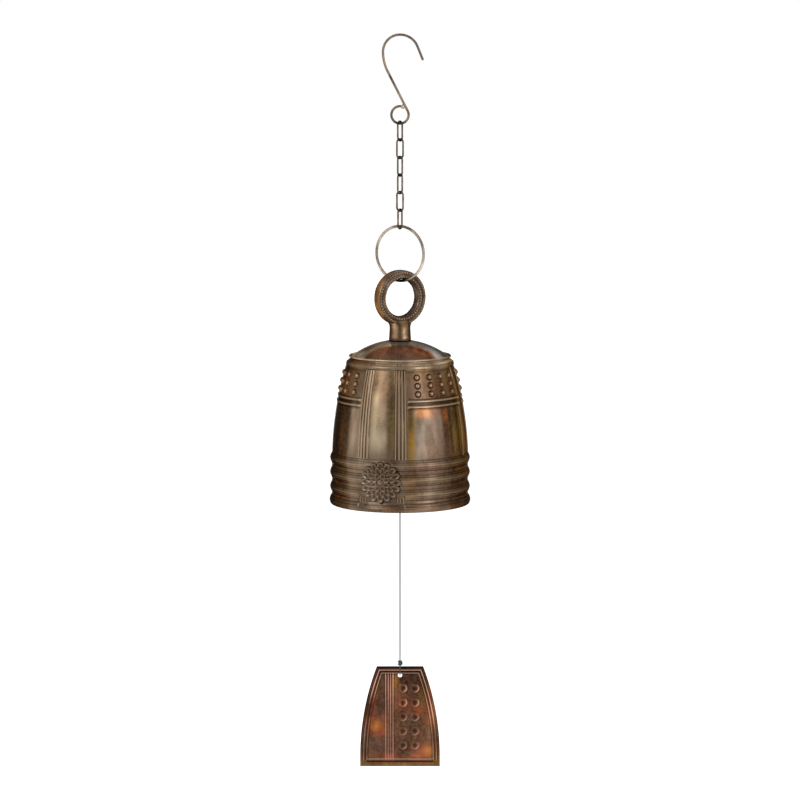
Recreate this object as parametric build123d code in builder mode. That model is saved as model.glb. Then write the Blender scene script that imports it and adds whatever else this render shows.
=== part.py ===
from build123d import *
from math import acos, asin, atan, ceil, cos, degrees, radians, sin, sqrt
import os

os.makedirs("parts", exist_ok=True)

# A wind bell that hangs from a wire hook: chain, ring, cast crown eye, cast bell, clapper and sail.
# Millimetres. The origin is the inside of the hook's crown, where it bears on its nail or branch.
# +Z is up, and the face that carries the rosette looks towards -Y, a little to -X.

# Running gaps between pieces that move on each other, and the overrun of every cut
link_play = 0.15
eye_play = 0.7
cord_play = 0.3
overrun = 1.0

# Round wire and cord are drawn with flats, and their bends in short straight steps
wire_sides = 8
bend_step = 18.0

# Hook: one bent wire, an open arch above and a closed, brazed eye below
hook_wire = 1.8
arch_back_radius = 12.6
arch_front_radius = 14.0
arch_front_turn = 68.0
arch_tip_length = 10.2
hook_back_radius = 32.0
stem_lean = 27.0
hook_eye_radius = 6.4
braze_width = 2.4

# Chain: oblong wire links, butted in the middle of one leg
link_wire = 1.3
link_width = 6.9
link_inner_length = 13.2
link_yaw = (-54.0, 36.0, -54.0, 54.0, -36.0, 59.0)
link_seam_side = (-1, 1, 1, 1, -1, 1)
link_seam_gap = (0.6, 0.2, 0.2, 0.6, 0.2, 0.2)

# Hanging ring: a round wire ring with a butt seam on its lower left limb
ring_wire = 2.0
ring_radius = 20.4
ring_yaw = -31.0
ring_seam_angle = 197.0
ring_seam_gap = 0.3

# Crown eye: a cast ring on a tapered neck, with a stud that goes through the bell
eye_yaw = 31.0
eye_hole_radius = 14.25
eye_section = 6.5
eye_depth = 9.0
eye_bevel = 1.1
neck_height = 12.1
neck_top_radius = 7.2
neck_base_radius = 8.4
neck_sides = 24
neck_sink = 2.2
neck_bevel = 2.0
stud_diameter = 6.0
stud_hole_play = 0.3
tang_thickness = 2.0
tang_length = 8.0
tang_corner = 2.5
tang_hole = 3.6
tang_hole_inset = 3.2

# Washer and nut that clamp the stud under the dome
washer_diameter = 16.0
washer_thickness = 1.2
nut_across_flats = 10.0
nut_height = 5.0
thread_play = 0.1

# Bell: heights are above the mouth, and the shoulder, collar, lip and dome are stacked on the panels
panel_top_height = 104.2
belly_radius = 51.1
belly_height = 30.0
side_arc_radius = 254.0
side_steps = 3
wall = 2.6
shoulder_band = 2.3
shoulder_relief = 0.7
collar_slope = 2.5
lip_groove = 1.4
lip_inset = 1.7205
lip_thickness = 1.3
lip_slope = 0.7
lip_overhang = 0.9
dome_setback = 1.7
dome_rise = 11.5
dome_steps = 3
crown_seat_radius = 9.4

# Hoops that ring the bell's foot, and the mouth bead
hoop_heights = (34.7, 23.7, 12.9)
hoop_width = 8.4
hoop_flat = 3.0
hoop_relief = 1.5
mouth_bead_top = 5.4
mouth_bead_slope = 2.6
mouth_bead_relief = 1.9
mouth_bead_undercut = 0.7

# Rib bundles between the panels, as angles round the bell from the rosette
face_turn = -16.0
rib_spacing_angle = 2.85
rib_width = 1.3
rib_relief = 0.8
rib_root = 0.6
ribs_per_bundle = 4
bundle_angles = (-16.6, 16.6, 163.4, 196.6)
side_rib_angles = (83.0, 97.0, 263.0, 277.0)

# Boss fields: twelve bosses in each, over a double rail
field_angles = (54.0, 126.0, 234.0, 306.0)
field_half_angle = 30.5
boss_columns = 4
boss_rows = 3
boss_column_angle = 13.8
boss_row_pitch = 6.0
boss_top_margin = 5.3
boss_sides = 6
boss_radius = 2.2
boss_taper = 20.0
boss_relief = 1.8
boss_sink = 0.4
rail_drops = (22.3, 26.4)
rail_width = 1.6
rail_relief = 0.8

# Rosette: where a temple bell is struck
rosette_height = 23.5
rosette_angles = (0.0, 180.0)
rosette_radius = 14.4
rosette_ground_relief = 1.9
outer_petals = 16
outer_petal_ring = 11.9
outer_petal_length = 6.4
outer_petal_width = 4.4
outer_petal_relief = 1.1
inner_petals = 8
inner_petal_ring = 6.1
inner_petal_length = 6.6
inner_petal_width = 4.6
inner_petal_relief = 1.7
petal_outline_shares = ((-0.5, 0.0), (-0.1, -0.36), (0.3, -0.46), (0.5, -0.16),
                        (0.5, 0.16), (0.3, 0.46), (-0.1, 0.36))
button_radius = 2.6
button_relief = 2.1

# Cord, the clapper's small ring and the clapper
cord_diameter = 0.9
knot_sides = 8
clapper_ring_wire = 1.6
clapper_ring_radius = 4.8
clapper_ring_gap = 0.4
knot_radius = 2.1
knot_height = 4.4
knot_bevel = 0.7
cord_loop_length = 3.5
clapper_drop = 66.0
clapper_radius = 19.0
clapper_thickness = 6.0
clapper_bevel = 1.1
clapper_hole = 2.0

# Sail: an embossed sheet, cut like a bell
sail_top_below_mouth = 126.0
sail_thickness = 1.2
sail_half_width = 30.3
sail_height = 77.4
sail_skirt = 7.5
sail_side_radius = 198.0
sail_hole = 3.4
sail_hole_below_top = 6.9
sail_relief = 0.35
sail_border_inset = 2.2
sail_border_pitch = 2.4
sail_line_width = 0.9
sail_rib_places = (-10.9, -8.9, -7.2, -5.3)
sail_boss_columns = 2
sail_boss_rows = 5
sail_boss_pitch_x = 9.1
sail_boss_pitch_z = 11.0
sail_boss_centre_x = 6.6
sail_boss_centre_below_top = 38.8
sail_boss_radius = 3.5
sail_boss_eye = 1.9
sail_boss_sides = 10


def heading(yaw):
    """The level direction at that yaw, from +X towards +Y."""
    return Vector(cos(radians(yaw)), sin(radians(yaw)), 0)


def upright_plane(yaw, height):
    """An upright plane on the centre line: local X is the yaw's heading, local Y is up."""
    return Plane(origin=(0, 0, height), x_dir=heading(yaw), z_dir=heading(yaw - 90))


def bell_plane(angle, height, radius=0.0):
    """A plane that looks out of the bell at that angle from its rosette: local Y is up."""
    out = heading(face_turn + angle - 90)
    return Plane(origin=out * radius + Vector(0, 0, height), x_dir=(-out.Y, out.X, 0), z_dir=out)


# Heights of the bell's head above its mouth
shoulder_height = panel_top_height + shoulder_band
collar_height = shoulder_height + collar_slope
lip_height = collar_height + lip_groove
dome_edge_height = lip_height + lip_thickness + lip_slope
bell_height = dome_edge_height + dome_rise

# Heights down the hanging line, each from the piece above
hook_crown_z = hook_wire / 2
stem_top_x = arch_back_radius - hook_back_radius * (1 - cos(radians(stem_lean)))
stem_length = (stem_top_x + hook_eye_radius * cos(radians(stem_lean))) / sin(radians(stem_lean))
hook_eye_z = (hook_crown_z - arch_back_radius - stem_length * cos(radians(stem_lean))
              - (hook_back_radius + hook_eye_radius) * sin(radians(stem_lean)))
link_span = link_inner_length + link_wire
link_bend_radius = (link_width - link_wire) / 2
link_pivot_z = [hook_eye_z - hook_eye_radius]
link_top_z = []
for number in range(len(link_yaw)):
    carrier_wire = link_wire if number else hook_wire
    link_top_z.append(link_pivot_z[number] + (carrier_wire + link_wire) / 2 + link_play)
    link_pivot_z.append(link_top_z[number] - link_span)
ring_z = link_pivot_z[-1] + (link_wire + ring_wire) / 2 + link_play - ring_radius
bell_pivot_z = ring_z - ring_radius
eye_z = bell_pivot_z + ring_wire / 2 + eye_play - eye_hole_radius
eye_mean_radius = eye_hole_radius + eye_section / 2
crown_z = eye_z - eye_hole_radius - eye_section + neck_sink - neck_height
mouth_z = crown_z - bell_height
pad_z = crown_z - wall
nut_z = pad_z - washer_thickness - nut_height
tang_z = nut_z - tang_length
tang_hole_z = tang_z + tang_hole_inset
clapper_ring_pivot_z = tang_hole_z - tang_hole / 2 + clapper_ring_wire / 2 + cord_play
clapper_ring_z = clapper_ring_pivot_z - clapper_ring_radius
clapper_pivot_z = clapper_ring_z - clapper_ring_radius
upper_knot_z = clapper_pivot_z - cord_loop_length
clapper_z = upper_knot_z - knot_height - clapper_drop
sail_top_z = mouth_z - sail_top_below_mouth
sail_hole_z = sail_top_z - sail_hole_below_top


def side_radius(height):
    """Outer radius of the bell's plain side: upright to the belly, then an arc that leans in."""
    rise = max(height - belly_height, 0)
    return belly_radius - side_arc_radius + sqrt(side_arc_radius**2 - rise**2)


def lean_at(height):
    """The angle in degrees by which the bell's side leans in at that height."""
    return degrees(asin(max(height - belly_height, 0) / side_arc_radius))


def arc_points(centre, radius, start, turn):
    """Points along an arc, its bend shared out in equal steps of at most bend_step degrees."""
    steps = ceil(abs(turn) / bend_step)
    angles = [radians(start + turn * step / steps) for step in range(steps + 1)]
    return [(centre[0] + radius * cos(angle), centre[1] + radius * sin(angle)) for angle in angles]


def bent_wire(plane, points, wire, label):
    """A wire bent in one plane along the points."""
    with BuildPart() as bent:
        with BuildLine(plane) as bent_line:
            Polyline(*points)
        path = bent_line.wires()[0]
        with BuildSketch(Plane(origin=path @ 0, x_dir=plane.z_dir, z_dir=path % 0)):
            RegularPolygon(wire / 2, wire_sides, major_radius=True, rotation=180 / wire_sides)
        sweep(path=path, transition=Transition.RIGHT)
    bent.part.label = label
    return bent.part


# Hook: the arch, the back and the eye are one wire, and the eye's end is brazed to the stem
front_points = arc_points((0, hook_crown_z - arch_front_radius), arch_front_radius, 90 - arch_front_turn,
                          arch_front_turn)
tip_turn = radians(arch_front_turn)
hook_tip = (front_points[0][0] + arch_tip_length * cos(tip_turn),
            front_points[0][1] - arch_tip_length * sin(tip_turn))
arch_z = hook_crown_z - arch_back_radius
eye_open = degrees(acos(1 - hook_wire / hook_eye_radius))
hook_points = [
    hook_tip,
    *front_points[:-1],
    *arc_points((0, arch_z), arch_back_radius, 90, 90)[:-1],
    *arc_points((hook_back_radius - arch_back_radius, arch_z), hook_back_radius, 180, stem_lean),
    *arc_points((0, hook_eye_z), hook_eye_radius, stem_lean, eye_open - 360),
]
with BuildPart() as hook:
    add(bent_wire(Plane.XZ, hook_points, hook_wire, "hook"))
    with Locations((hook_points[-1][0], 0, hook_points[-1][1])):
        Box(braze_width, hook_wire, braze_width)
hook.part.label = "hook"

# Chain links: each wire starts and ends at its seam, half-way down one leg
chain = []
for number, (yaw, side, gap) in enumerate(zip(link_yaw, link_seam_side, link_seam_gap)):
    leg = (link_inner_length + link_wire) / 2 - link_bend_radius
    link_points = [
        (side * link_bend_radius, gap / 2),
        *arc_points((0, leg), link_bend_radius, 90 - side * 90, side * 180),
        *arc_points((0, -leg), link_bend_radius, 90 + side * 90, side * 180),
        (side * link_bend_radius, -gap / 2),
    ]
    plane = upright_plane(yaw, link_top_z[number] - link_span / 2)
    chain.append(bent_wire(plane, link_points, link_wire, f"chain_link_{number + 1}"))


def wire_ring(yaw, centre_z, radius, wire, seam_angle, seam_gap, label):
    """A ring of wire, butted at its seam."""
    half_gap = degrees(seam_gap / 2 / radius)
    points = arc_points((0, 0), radius, seam_angle + half_gap, 360 - 2 * half_gap)
    return bent_wire(upright_plane(yaw, centre_z), points, wire, label)


hanging_ring = wire_ring(ring_yaw, ring_z, ring_radius, ring_wire, ring_seam_angle, ring_seam_gap,
                         "hanging_ring")

# Neck of the crown eye: tapered and drawn with flats
with BuildPart() as neck:
    with BuildSketch(Plane.XY.offset(crown_z)):
        RegularPolygon(neck_base_radius, neck_sides)
    extrude(amount=neck_height, taper=degrees(atan((neck_base_radius - neck_top_radius) / neck_height)))
    chamfer(neck.faces().sort_by(Axis.Z)[-1].edges(), neck_bevel)

# Crown eye: the ring on its neck, and a stud that ends in a flat tang with a cross hole
with BuildPart() as crown_eye:
    eye_plane = upright_plane(eye_yaw, eye_z)
    with BuildSketch(Plane(origin=eye_plane.origin, x_dir=(0, 0, 1), z_dir=eye_plane.x_dir)):
        with Locations((eye_mean_radius, 0)):
            eye_block = Rectangle(eye_section, eye_depth)
        chamfer(eye_block.vertices(), eye_bevel)
    revolve(axis=Axis(eye_plane.origin, eye_plane.z_dir))
    add(neck.part)
    with BuildSketch(Plane.XY.offset(crown_z)):
        Circle(stud_diameter / 2)
    extrude(amount=nut_z - overrun - crown_z)
    with BuildSketch(upright_plane(eye_yaw, tang_z)) as tang_face:
        with Locations((0, tang_length / 2)):
            Rectangle(stud_diameter, tang_length)
        fillet(tang_face.vertices().group_by(Axis.Z)[0], tang_corner)
    extrude(amount=tang_thickness / 2, both=True)
    with BuildSketch(upright_plane(eye_yaw, tang_hole_z)):
        Circle(tang_hole / 2)
    extrude(amount=tang_thickness, both=True, mode=Mode.SUBTRACT)
crown_eye.part.label = "crown_eye"

# Washer and nut that clamp the stud, and with it the crown eye, to the dome
with BuildPart() as crown_washer:
    with BuildSketch(Plane.XY.offset(pad_z)):
        Circle(washer_diameter / 2)
        Circle(stud_diameter / 2 + stud_hole_play, mode=Mode.SUBTRACT)
    extrude(amount=-washer_thickness)
crown_washer.part.label = "crown_washer"

with BuildPart() as crown_nut:
    with BuildSketch(Plane.XY.offset(nut_z)):
        RegularPolygon(nut_across_flats / 2, 6, major_radius=False)
        Circle(stud_diameter / 2 + thread_play, mode=Mode.SUBTRACT)
    extrude(amount=nut_height)
crown_nut.part.label = "crown_nut"


def wall_point(radius, height):
    """A point of the bell's section: radius from its axis, height above its mouth."""
    return (radius, mouth_z + height)


side_heights = [belly_height + (panel_top_height - belly_height) * step / side_steps
                for step in range(side_steps + 1)]
lip_radius = side_radius(panel_top_height) - lip_inset


def dome_points(depth):
    """The dome's line from its crown seat to its edge, at a depth below the outer skin."""
    inner, outer = crown_seat_radius, lip_radius - dome_setback
    sphere = sqrt(inner**2 + ((outer**2 - inner**2 - dome_rise**2) / (2 * dome_rise)) ** 2)
    centre = bell_height - sqrt(sphere**2 - inner**2)
    radii = [inner + (outer - inner) * step / dome_steps for step in range(dome_steps + 1)]
    return [wall_point(radius, centre + sqrt(sphere**2 - radius**2) - depth) for radius in radii]


# Rosette: a ground that wraps the bell, two rings of petals and a button
def petal_plane(ring, turn):
    """The plane of a petal's foot, turned so that its local X points out from the rosette's middle."""
    across, up = ring * cos(radians(turn)), ring * sin(radians(turn))
    spot = bell_plane(degrees(across / belly_radius), mouth_z + rosette_height + up,
                      belly_radius + rosette_ground_relief)
    return spot.rotated((0, 0, turn))


def petal_outline(length, width):
    """A petal's outline, pointed at the foot and blunt at the tip."""
    return [(along * length, across * width) for along, across in petal_outline_shares]


with BuildPart() as rosette:
    with BuildSketch(Plane.XY.offset(mouth_z + rosette_height - rosette_radius)):
        Circle(belly_radius + rosette_ground_relief)
        Circle(belly_radius - rib_root, mode=Mode.SUBTRACT)
    extrude(amount=2 * rosette_radius)
    with BuildSketch(bell_plane(0, mouth_z + rosette_height)):
        Circle(rosette_radius)
    extrude(amount=belly_radius * 2, mode=Mode.INTERSECT)
    for petals, ring, length, width, relief in (
        (outer_petals, outer_petal_ring, outer_petal_length, outer_petal_width, outer_petal_relief),
        (inner_petals, inner_petal_ring, inner_petal_length, inner_petal_width, inner_petal_relief),
    ):
        for number in range(petals):
            with BuildSketch(petal_plane(ring, 360 * number / petals).offset(-rib_root)):
                Polygon(*petal_outline(length, width), align=None)
            extrude(amount=relief + rib_root)
    with BuildSketch(petal_plane(0, 0).offset(-rib_root)):
        RegularPolygon(button_radius, inner_petals)
    extrude(amount=button_relief + rib_root)


def band(low, high, angle, turn, relief):
    """A raised band on the bell: between two heights, centred on an angle, through a turn."""
    out = heading(face_turn + angle - turn / 2 - 90)
    heights = [low, *(height for height in side_heights if low < height < high), high]
    outer = [(side_radius(height) + relief, height) for height in heights]
    inner = [(side_radius(height) - rib_root, height) for height in heights]
    with BuildPart() as strip:
        with BuildSketch(Plane(origin=(0, 0, mouth_z), x_dir=out, z_dir=(out.Y, -out.X, 0))):
            Polygon(*outer, *reversed(inner), align=None)
        revolve(axis=Axis.Z, revolution_arc=turn)
    return strip.part


rib_turn = degrees(rib_width / belly_radius)
rib_angles = [bundle + (number - (ribs_per_bundle - 1) / 2) * rib_spacing_angle
              for bundle in bundle_angles for number in range(ribs_per_bundle)]
raised = [band(hoop_heights[0], panel_top_height, angle, rib_turn, rib_relief)
          for angle in (*rib_angles, *side_rib_angles)]
rail_heights = [panel_top_height - drop for drop in rail_drops]
raised += [band(height - rail_width / 2, height + rail_width / 2, angle, 2 * field_half_angle, rail_relief)
           for angle in field_angles for height in rail_heights]
raised += [rosette.part.rotate(Axis.Z, angle) for angle in rosette_angles]

# Boss: a blunt stud with flats
with BuildPart() as boss:
    with BuildSketch():
        RegularPolygon(boss_radius, boss_sides)
    extrude(amount=boss_relief + boss_sink, taper=boss_taper)

# Bell: one turned casting, then ribs, rails, bosses and rosettes raised on it
with BuildPart() as bell:
    with BuildSketch(Plane.XZ):
        with BuildLine():
            hole = stud_diameter / 2 + stud_hole_play
            collar_radius = lip_radius - lip_overhang
            bead_radius = belly_radius + mouth_bead_relief
            Polyline(
                wall_point(hole, bell_height),
                *dome_points(0),
                wall_point(lip_radius, lip_height + lip_thickness),
                wall_point(lip_radius, lip_height),
                wall_point(collar_radius, lip_height),
                wall_point(collar_radius, collar_height),
                wall_point(side_radius(shoulder_height) + shoulder_relief, shoulder_height),
                wall_point(side_radius(panel_top_height) + shoulder_relief, panel_top_height),
                *(wall_point(side_radius(height), height) for height in reversed(side_heights)),
                wall_point(belly_radius, mouth_bead_top + mouth_bead_slope),
                wall_point(bead_radius, mouth_bead_top - mouth_bead_slope),
                wall_point(bead_radius - mouth_bead_undercut, 0),
                wall_point(belly_radius - wall, 0),
                *(wall_point(side_radius(height) - wall, height) for height in side_heights),
                *reversed(dome_points(wall)),
                wall_point(hole, bell_height - wall),
                close=True,
            )
        make_face()
        for height in hoop_heights:
            foot_radius = side_radius(height)
            hoop = [(foot_radius - rib_root, hoop_width / 2), (foot_radius, hoop_width / 2),
                    (foot_radius + hoop_relief, hoop_flat / 2)]
            hoop += [(radius, -rise) for radius, rise in reversed(hoop)]
            Polygon(*(wall_point(radius, height + rise) for radius, rise in hoop), align=None)
    revolve(axis=Axis.Z)
    add(raised)
    bosses = []
    for field in field_angles:
        for column in range(boss_columns):
            for row in range(boss_rows):
                angle = field + (column - (boss_columns - 1) / 2) * boss_column_angle
                height = panel_top_height - boss_top_margin - row * boss_row_pitch
                seat = bell_plane(angle, mouth_z + height, side_radius(height) - boss_sink)
                bosses.append(seat.rotated((-lean_at(height), 0, 0)))
    with Locations(*bosses):
        add(boss.part)
bell.part.label = "bell"

# Clapper ring: a butted wire ring that hangs in the tang's cross hole
clapper_ring = wire_ring(eye_yaw - 90, clapper_ring_z, clapper_ring_radius, clapper_ring_wire, 0,
                         clapper_ring_gap, "clapper_ring")


def cord_loop(yaw, bend_z, bend_radius, knot_z, label):
    """A loop of cord: half a turn about bend_z, with two straight legs to the knot's flat face."""
    way = 1 if bend_z > knot_z else -1
    points = [(bend_radius, knot_z - bend_z), *arc_points((0, 0), bend_radius, 0, way * 180),
              (-bend_radius, knot_z - bend_z)]
    return bent_wire(upright_plane(yaw, bend_z), points, cord_diameter, label)


def knot(top_z, label):
    """A pulled knot, drawn as a short barrel with flat ends where its cords enter."""
    with BuildPart() as tied:
        with BuildSketch(Plane.XY.offset(top_z)):
            RegularPolygon(knot_radius, knot_sides)
        extrude(amount=-knot_height)
        chamfer(tied.edges().group_by(Axis.Z)[0] + tied.edges().group_by(Axis.Z)[-1], knot_bevel)
    tied.part.label = label
    return tied.part


def straight_cord(top_z, bottom_z, label):
    """A taut run of cord down the centre line."""
    with BuildPart() as run:
        with BuildSketch(Plane.XY.offset(bottom_z)):
            RegularPolygon(cord_diameter / 2, wire_sides)
        extrude(amount=top_z - bottom_z)
    run.part.label = label
    return run.part


# Upper cord: a loop on the clapper ring, its knot, and the run that carries the clapper
ring_bend_radius = (clapper_ring_wire + cord_diameter) / 2 + cord_play
clapper_bottom_z = clapper_z - clapper_thickness
cords = [
    cord_loop(eye_yaw, clapper_pivot_z + link_play, ring_bend_radius, upper_knot_z, "clapper_cord_loop"),
    knot(upper_knot_z, "clapper_cord_knot"),
    straight_cord(upper_knot_z - knot_height, clapper_bottom_z, "clapper_cord"),
    knot(clapper_bottom_z, "clapper_stop_knot"),
]

# Clapper: a cast disc with bevelled rims, threaded on the cord above its stop knot
with BuildPart() as clapper:
    with BuildSketch(Plane.XY.offset(clapper_bottom_z)):
        Circle(clapper_radius)
        Circle(clapper_hole / 2, mode=Mode.SUBTRACT)
    extrude(amount=clapper_thickness)
    rims = clapper.edges().filter_by(GeomType.CIRCLE).sort_by(SortBy.RADIUS)[-2:]
    chamfer(rims, clapper_bevel)
clapper.part.label = "clapper"

# Lower cord: the run out of the mouth, its knot, and the loop through the sail's hole
sail_pivot_z = clapper_bottom_z - knot_height - link_play
sail_knot_z = sail_top_z + cord_play + link_play + knot_height
sail_bend_radius = sail_thickness / 2 + sail_relief + (cord_diameter + cord_play) / 2
cords += [
    straight_cord(sail_pivot_z, sail_knot_z + link_play, "sail_cord"),
    knot(sail_knot_z, "sail_knot"),
    cord_loop(90, sail_hole_z + sail_hole / 2 + cord_play, sail_bend_radius, sail_knot_z - knot_height,
              "sail_cord_loop"),
]

# Sail: a bell-shaped sheet with border lines, four ribs and ten ring bosses raised on its face
with BuildPart() as sail:
    side_foot_z = sail_top_z - sail_height + sail_skirt
    top_half_width = sail_half_width - sail_side_radius + sqrt(
        sail_side_radius**2 - (sail_height - sail_skirt) ** 2)
    with BuildSketch(Plane.XZ.offset(-sail_thickness / 2)) as sail_face:
        with BuildLine():
            top_edge = Line((-top_half_width, sail_top_z), (top_half_width, sail_top_z))
            side = RadiusArc(top_edge @ 1, (sail_half_width, side_foot_z), sail_side_radius)
            skirt = Line(side @ 1, (sail_half_width, sail_top_z - sail_height))
            Line(skirt @ 1, (-sail_half_width, sail_top_z - sail_height))
            mirror(skirt, about=Plane.YZ)
            mirror(side, about=Plane.YZ)
        make_face()
    extrude(amount=sail_thickness)
    face_plane = Plane.XZ.offset(sail_thickness / 2)
    with BuildSketch(face_plane):
        for inset in (sail_border_inset, sail_border_inset + sail_border_pitch):
            add(offset(sail_face.sketch.face(), -inset, mode=Mode.PRIVATE))
            add(offset(sail_face.sketch.face(), -inset - sail_line_width, mode=Mode.PRIVATE),
                mode=Mode.SUBTRACT)
    extrude(amount=sail_relief)
    rib_top_z = sail_top_z - sail_border_inset - sail_border_pitch
    rib_foot_z = sail_top_z - sail_height + sail_border_inset + sail_border_pitch
    with BuildSketch(face_plane):
        for place in sail_rib_places:
            with Locations((place, (rib_top_z + rib_foot_z) / 2)):
                Rectangle(sail_line_width, rib_top_z - rib_foot_z)
        with Locations((sail_boss_centre_x, sail_top_z - sail_boss_centre_below_top)):
            with GridLocations(sail_boss_pitch_x, sail_boss_pitch_z, sail_boss_columns, sail_boss_rows):
                RegularPolygon(sail_boss_radius, sail_boss_sides)
                RegularPolygon(sail_boss_eye, sail_boss_sides, mode=Mode.SUBTRACT)
    extrude(amount=sail_relief)
    with Locations(Plane.XZ * Location((0, sail_hole_z, 0))):
        Hole(sail_hole / 2)
sail.part.label = "sail"

pieces = [hook.part, *chain, hanging_ring, crown_eye.part, crown_washer.part, crown_nut.part, bell.part,
          clapper_ring, clapper.part, *cords, sail.part]
for piece in pieces:
    export_step(piece, f"parts/{piece.label}.step")
    print(piece.label, len(piece.solids()), round(piece.volume, 1), piece.is_valid)
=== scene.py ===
"""Dresses a furin wind bell: hook, chain, ring, crown eye, bell, clapper, cord and sail.

Sizes are in millimetres and become metres where a mesh is made. The origin is where the hook bears on its
nail, +Z is up, and the face with the nearer rosette looks towards -Y, a little to -X. Yaws are degrees from
+X towards +Y, and colours are given as seen, 0 to 255.
"""

import logging
import math
from dataclasses import dataclass
from enum import Enum

import bpy
import numpy as np
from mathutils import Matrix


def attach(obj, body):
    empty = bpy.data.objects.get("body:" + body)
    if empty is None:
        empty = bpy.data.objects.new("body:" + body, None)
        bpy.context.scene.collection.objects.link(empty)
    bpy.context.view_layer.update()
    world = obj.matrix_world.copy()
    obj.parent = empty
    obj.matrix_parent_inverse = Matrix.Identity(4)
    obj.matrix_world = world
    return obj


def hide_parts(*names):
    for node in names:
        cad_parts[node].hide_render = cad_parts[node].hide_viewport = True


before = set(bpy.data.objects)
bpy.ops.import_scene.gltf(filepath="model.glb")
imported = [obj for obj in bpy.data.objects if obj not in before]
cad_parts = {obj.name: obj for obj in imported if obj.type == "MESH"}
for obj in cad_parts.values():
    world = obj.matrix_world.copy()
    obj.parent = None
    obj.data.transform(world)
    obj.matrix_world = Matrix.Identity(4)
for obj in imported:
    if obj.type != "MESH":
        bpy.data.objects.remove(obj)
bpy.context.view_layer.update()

LOG = logging.getLogger("furin")
Triple = tuple[float, float, float]
Marks = np.ndarray | float

MM = 0.001
UP = np.array([0.0, 0.0, 1.0])
# Running gaps: between pieces that bear on each other, and of a ring or cord in its hole
PLAY = 0.15
HOLE_PLAY = 0.3
# The bell's two ornamented faces, as angles from the nearer rosette
FACES = (0.0, 180.0)
CORD_RADIUS = 0.45
LOOP_RADIUS = 1.55


def tint(red: float, green: float, blue: float) -> Triple:
    """A colour as it is seen, turned into the linear values that a shader takes."""
    shares = np.array([red, green, blue]) / 255
    linear = np.where(shares <= 0.04045, shares / 12.92, ((shares + 0.055) / 1.055) ** 2.4)
    return tuple(float(value) for value in linear)


def lay_over(tone: Marks | Triple, share: np.ndarray, *colour: int) -> np.ndarray:
    """Lays a colour over linear tones by its share at each point."""
    share = np.asarray(share)[..., None]
    return np.asarray(tone) * (1 - share) + np.array(tint(*colour)) * share


def smooth_step(low: float, high: float, value: np.ndarray) -> np.ndarray:
    """Rises from 0 at low to 1 at high along 3t^2 - 2t^3; falls where high is below low."""
    t = np.clip((value - low) / (high - low), 0, 1)
    return t * t * (3 - 2 * t)


def ridge(distance: np.ndarray, half_width: float, slope: float) -> np.ndarray:
    """1 within half_width of a line and 0 beyond half_width + slope, eased between."""
    return smooth_step(half_width + slope, half_width, np.abs(distance))


def polar(radius: Marks, turn: Marks, height: Marks) -> np.ndarray:
    """Points (r cos t, r sin t, height) round the centre line, with the turn in radians."""
    return np.stack(np.broadcast_arrays(radius * np.cos(turn), radius * np.sin(turn), height), -1)


def level(yaw: Marks) -> np.ndarray:
    """The level unit vector at that yaw."""
    return polar(1.0, np.radians(yaw), 0.0)


def link(name: str, data: bpy.types.ID) -> bpy.types.Object:
    """Makes an object of its data and puts it in the scene."""
    piece = bpy.data.objects.new(name, data)
    bpy.context.scene.collection.objects.link(piece)
    return piece


def turn_to(angles: np.ndarray, angle: Marks) -> np.ndarray:
    """Shortest turn in degrees from one angle to each of the angles."""
    return (angles - angle + 180) % 360 - 180


def full_turn(steps: int) -> np.ndarray:
    """Angles of a whole turn in equal steps, the last short of the first."""
    return np.arange(steps) * 2 * math.pi / steps


def hung(bearing_z: float, above: float, wire: float, play: float = PLAY) -> float:
    """Height of a wire's middle where it hangs over a wire whose thickness is above."""
    return bearing_z + (above + wire) / 2 + play


def painted(x: np.ndarray, y: np.ndarray, base: Triple, power: int, patches: tuple) -> np.ndarray:
    """A base tone with patches laid over it, each by its share of e^(-(across/wide)^power - (up/high)^power).

    Args:
        x: Places across, in degrees or millimetres.
        y: Places up or down.
        base: The tone under the patches.
        power: 2 for soft patches, 4 for squarer ones.
        patches: Place across, place up, reach across, reach up, share and colour of each.

    Returns:
        The linear tone of each place.
    """
    x, y = np.broadcast_arrays(x, y)
    tone = np.broadcast_to(tint(*base), (*x.shape, 3))
    for place, height, wide, high, share, *colour in patches:
        across, up = turn_to(x, place) / wide, (y - height) / high
        tone = lay_over(tone, share * np.exp(-(across**power) - up**power), *colour)
    return tone


# Meshes


class Round(Enum):
    """Which ways of a grid of points join up with their start."""

    NEITHER = (False, False)
    COLUMNS = (False, True)
    BOTH = (True, True)


def grid_quads(rows: int, columns: int, joined: Round) -> np.ndarray:
    """The quads of a grid whose points are numbered row by row, as an (n, 4) array."""
    spans = [np.arange(number - (not closed)) for number, closed in zip((rows, columns), joined.value)]
    i, j = np.meshgrid(*spans, indexing="ij")
    below, beside = (i + 1) % rows * columns, (j + 1) % columns
    return np.stack([i * columns + j, i * columns + beside, below + beside, below + j], -1).reshape(-1, 4)


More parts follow.
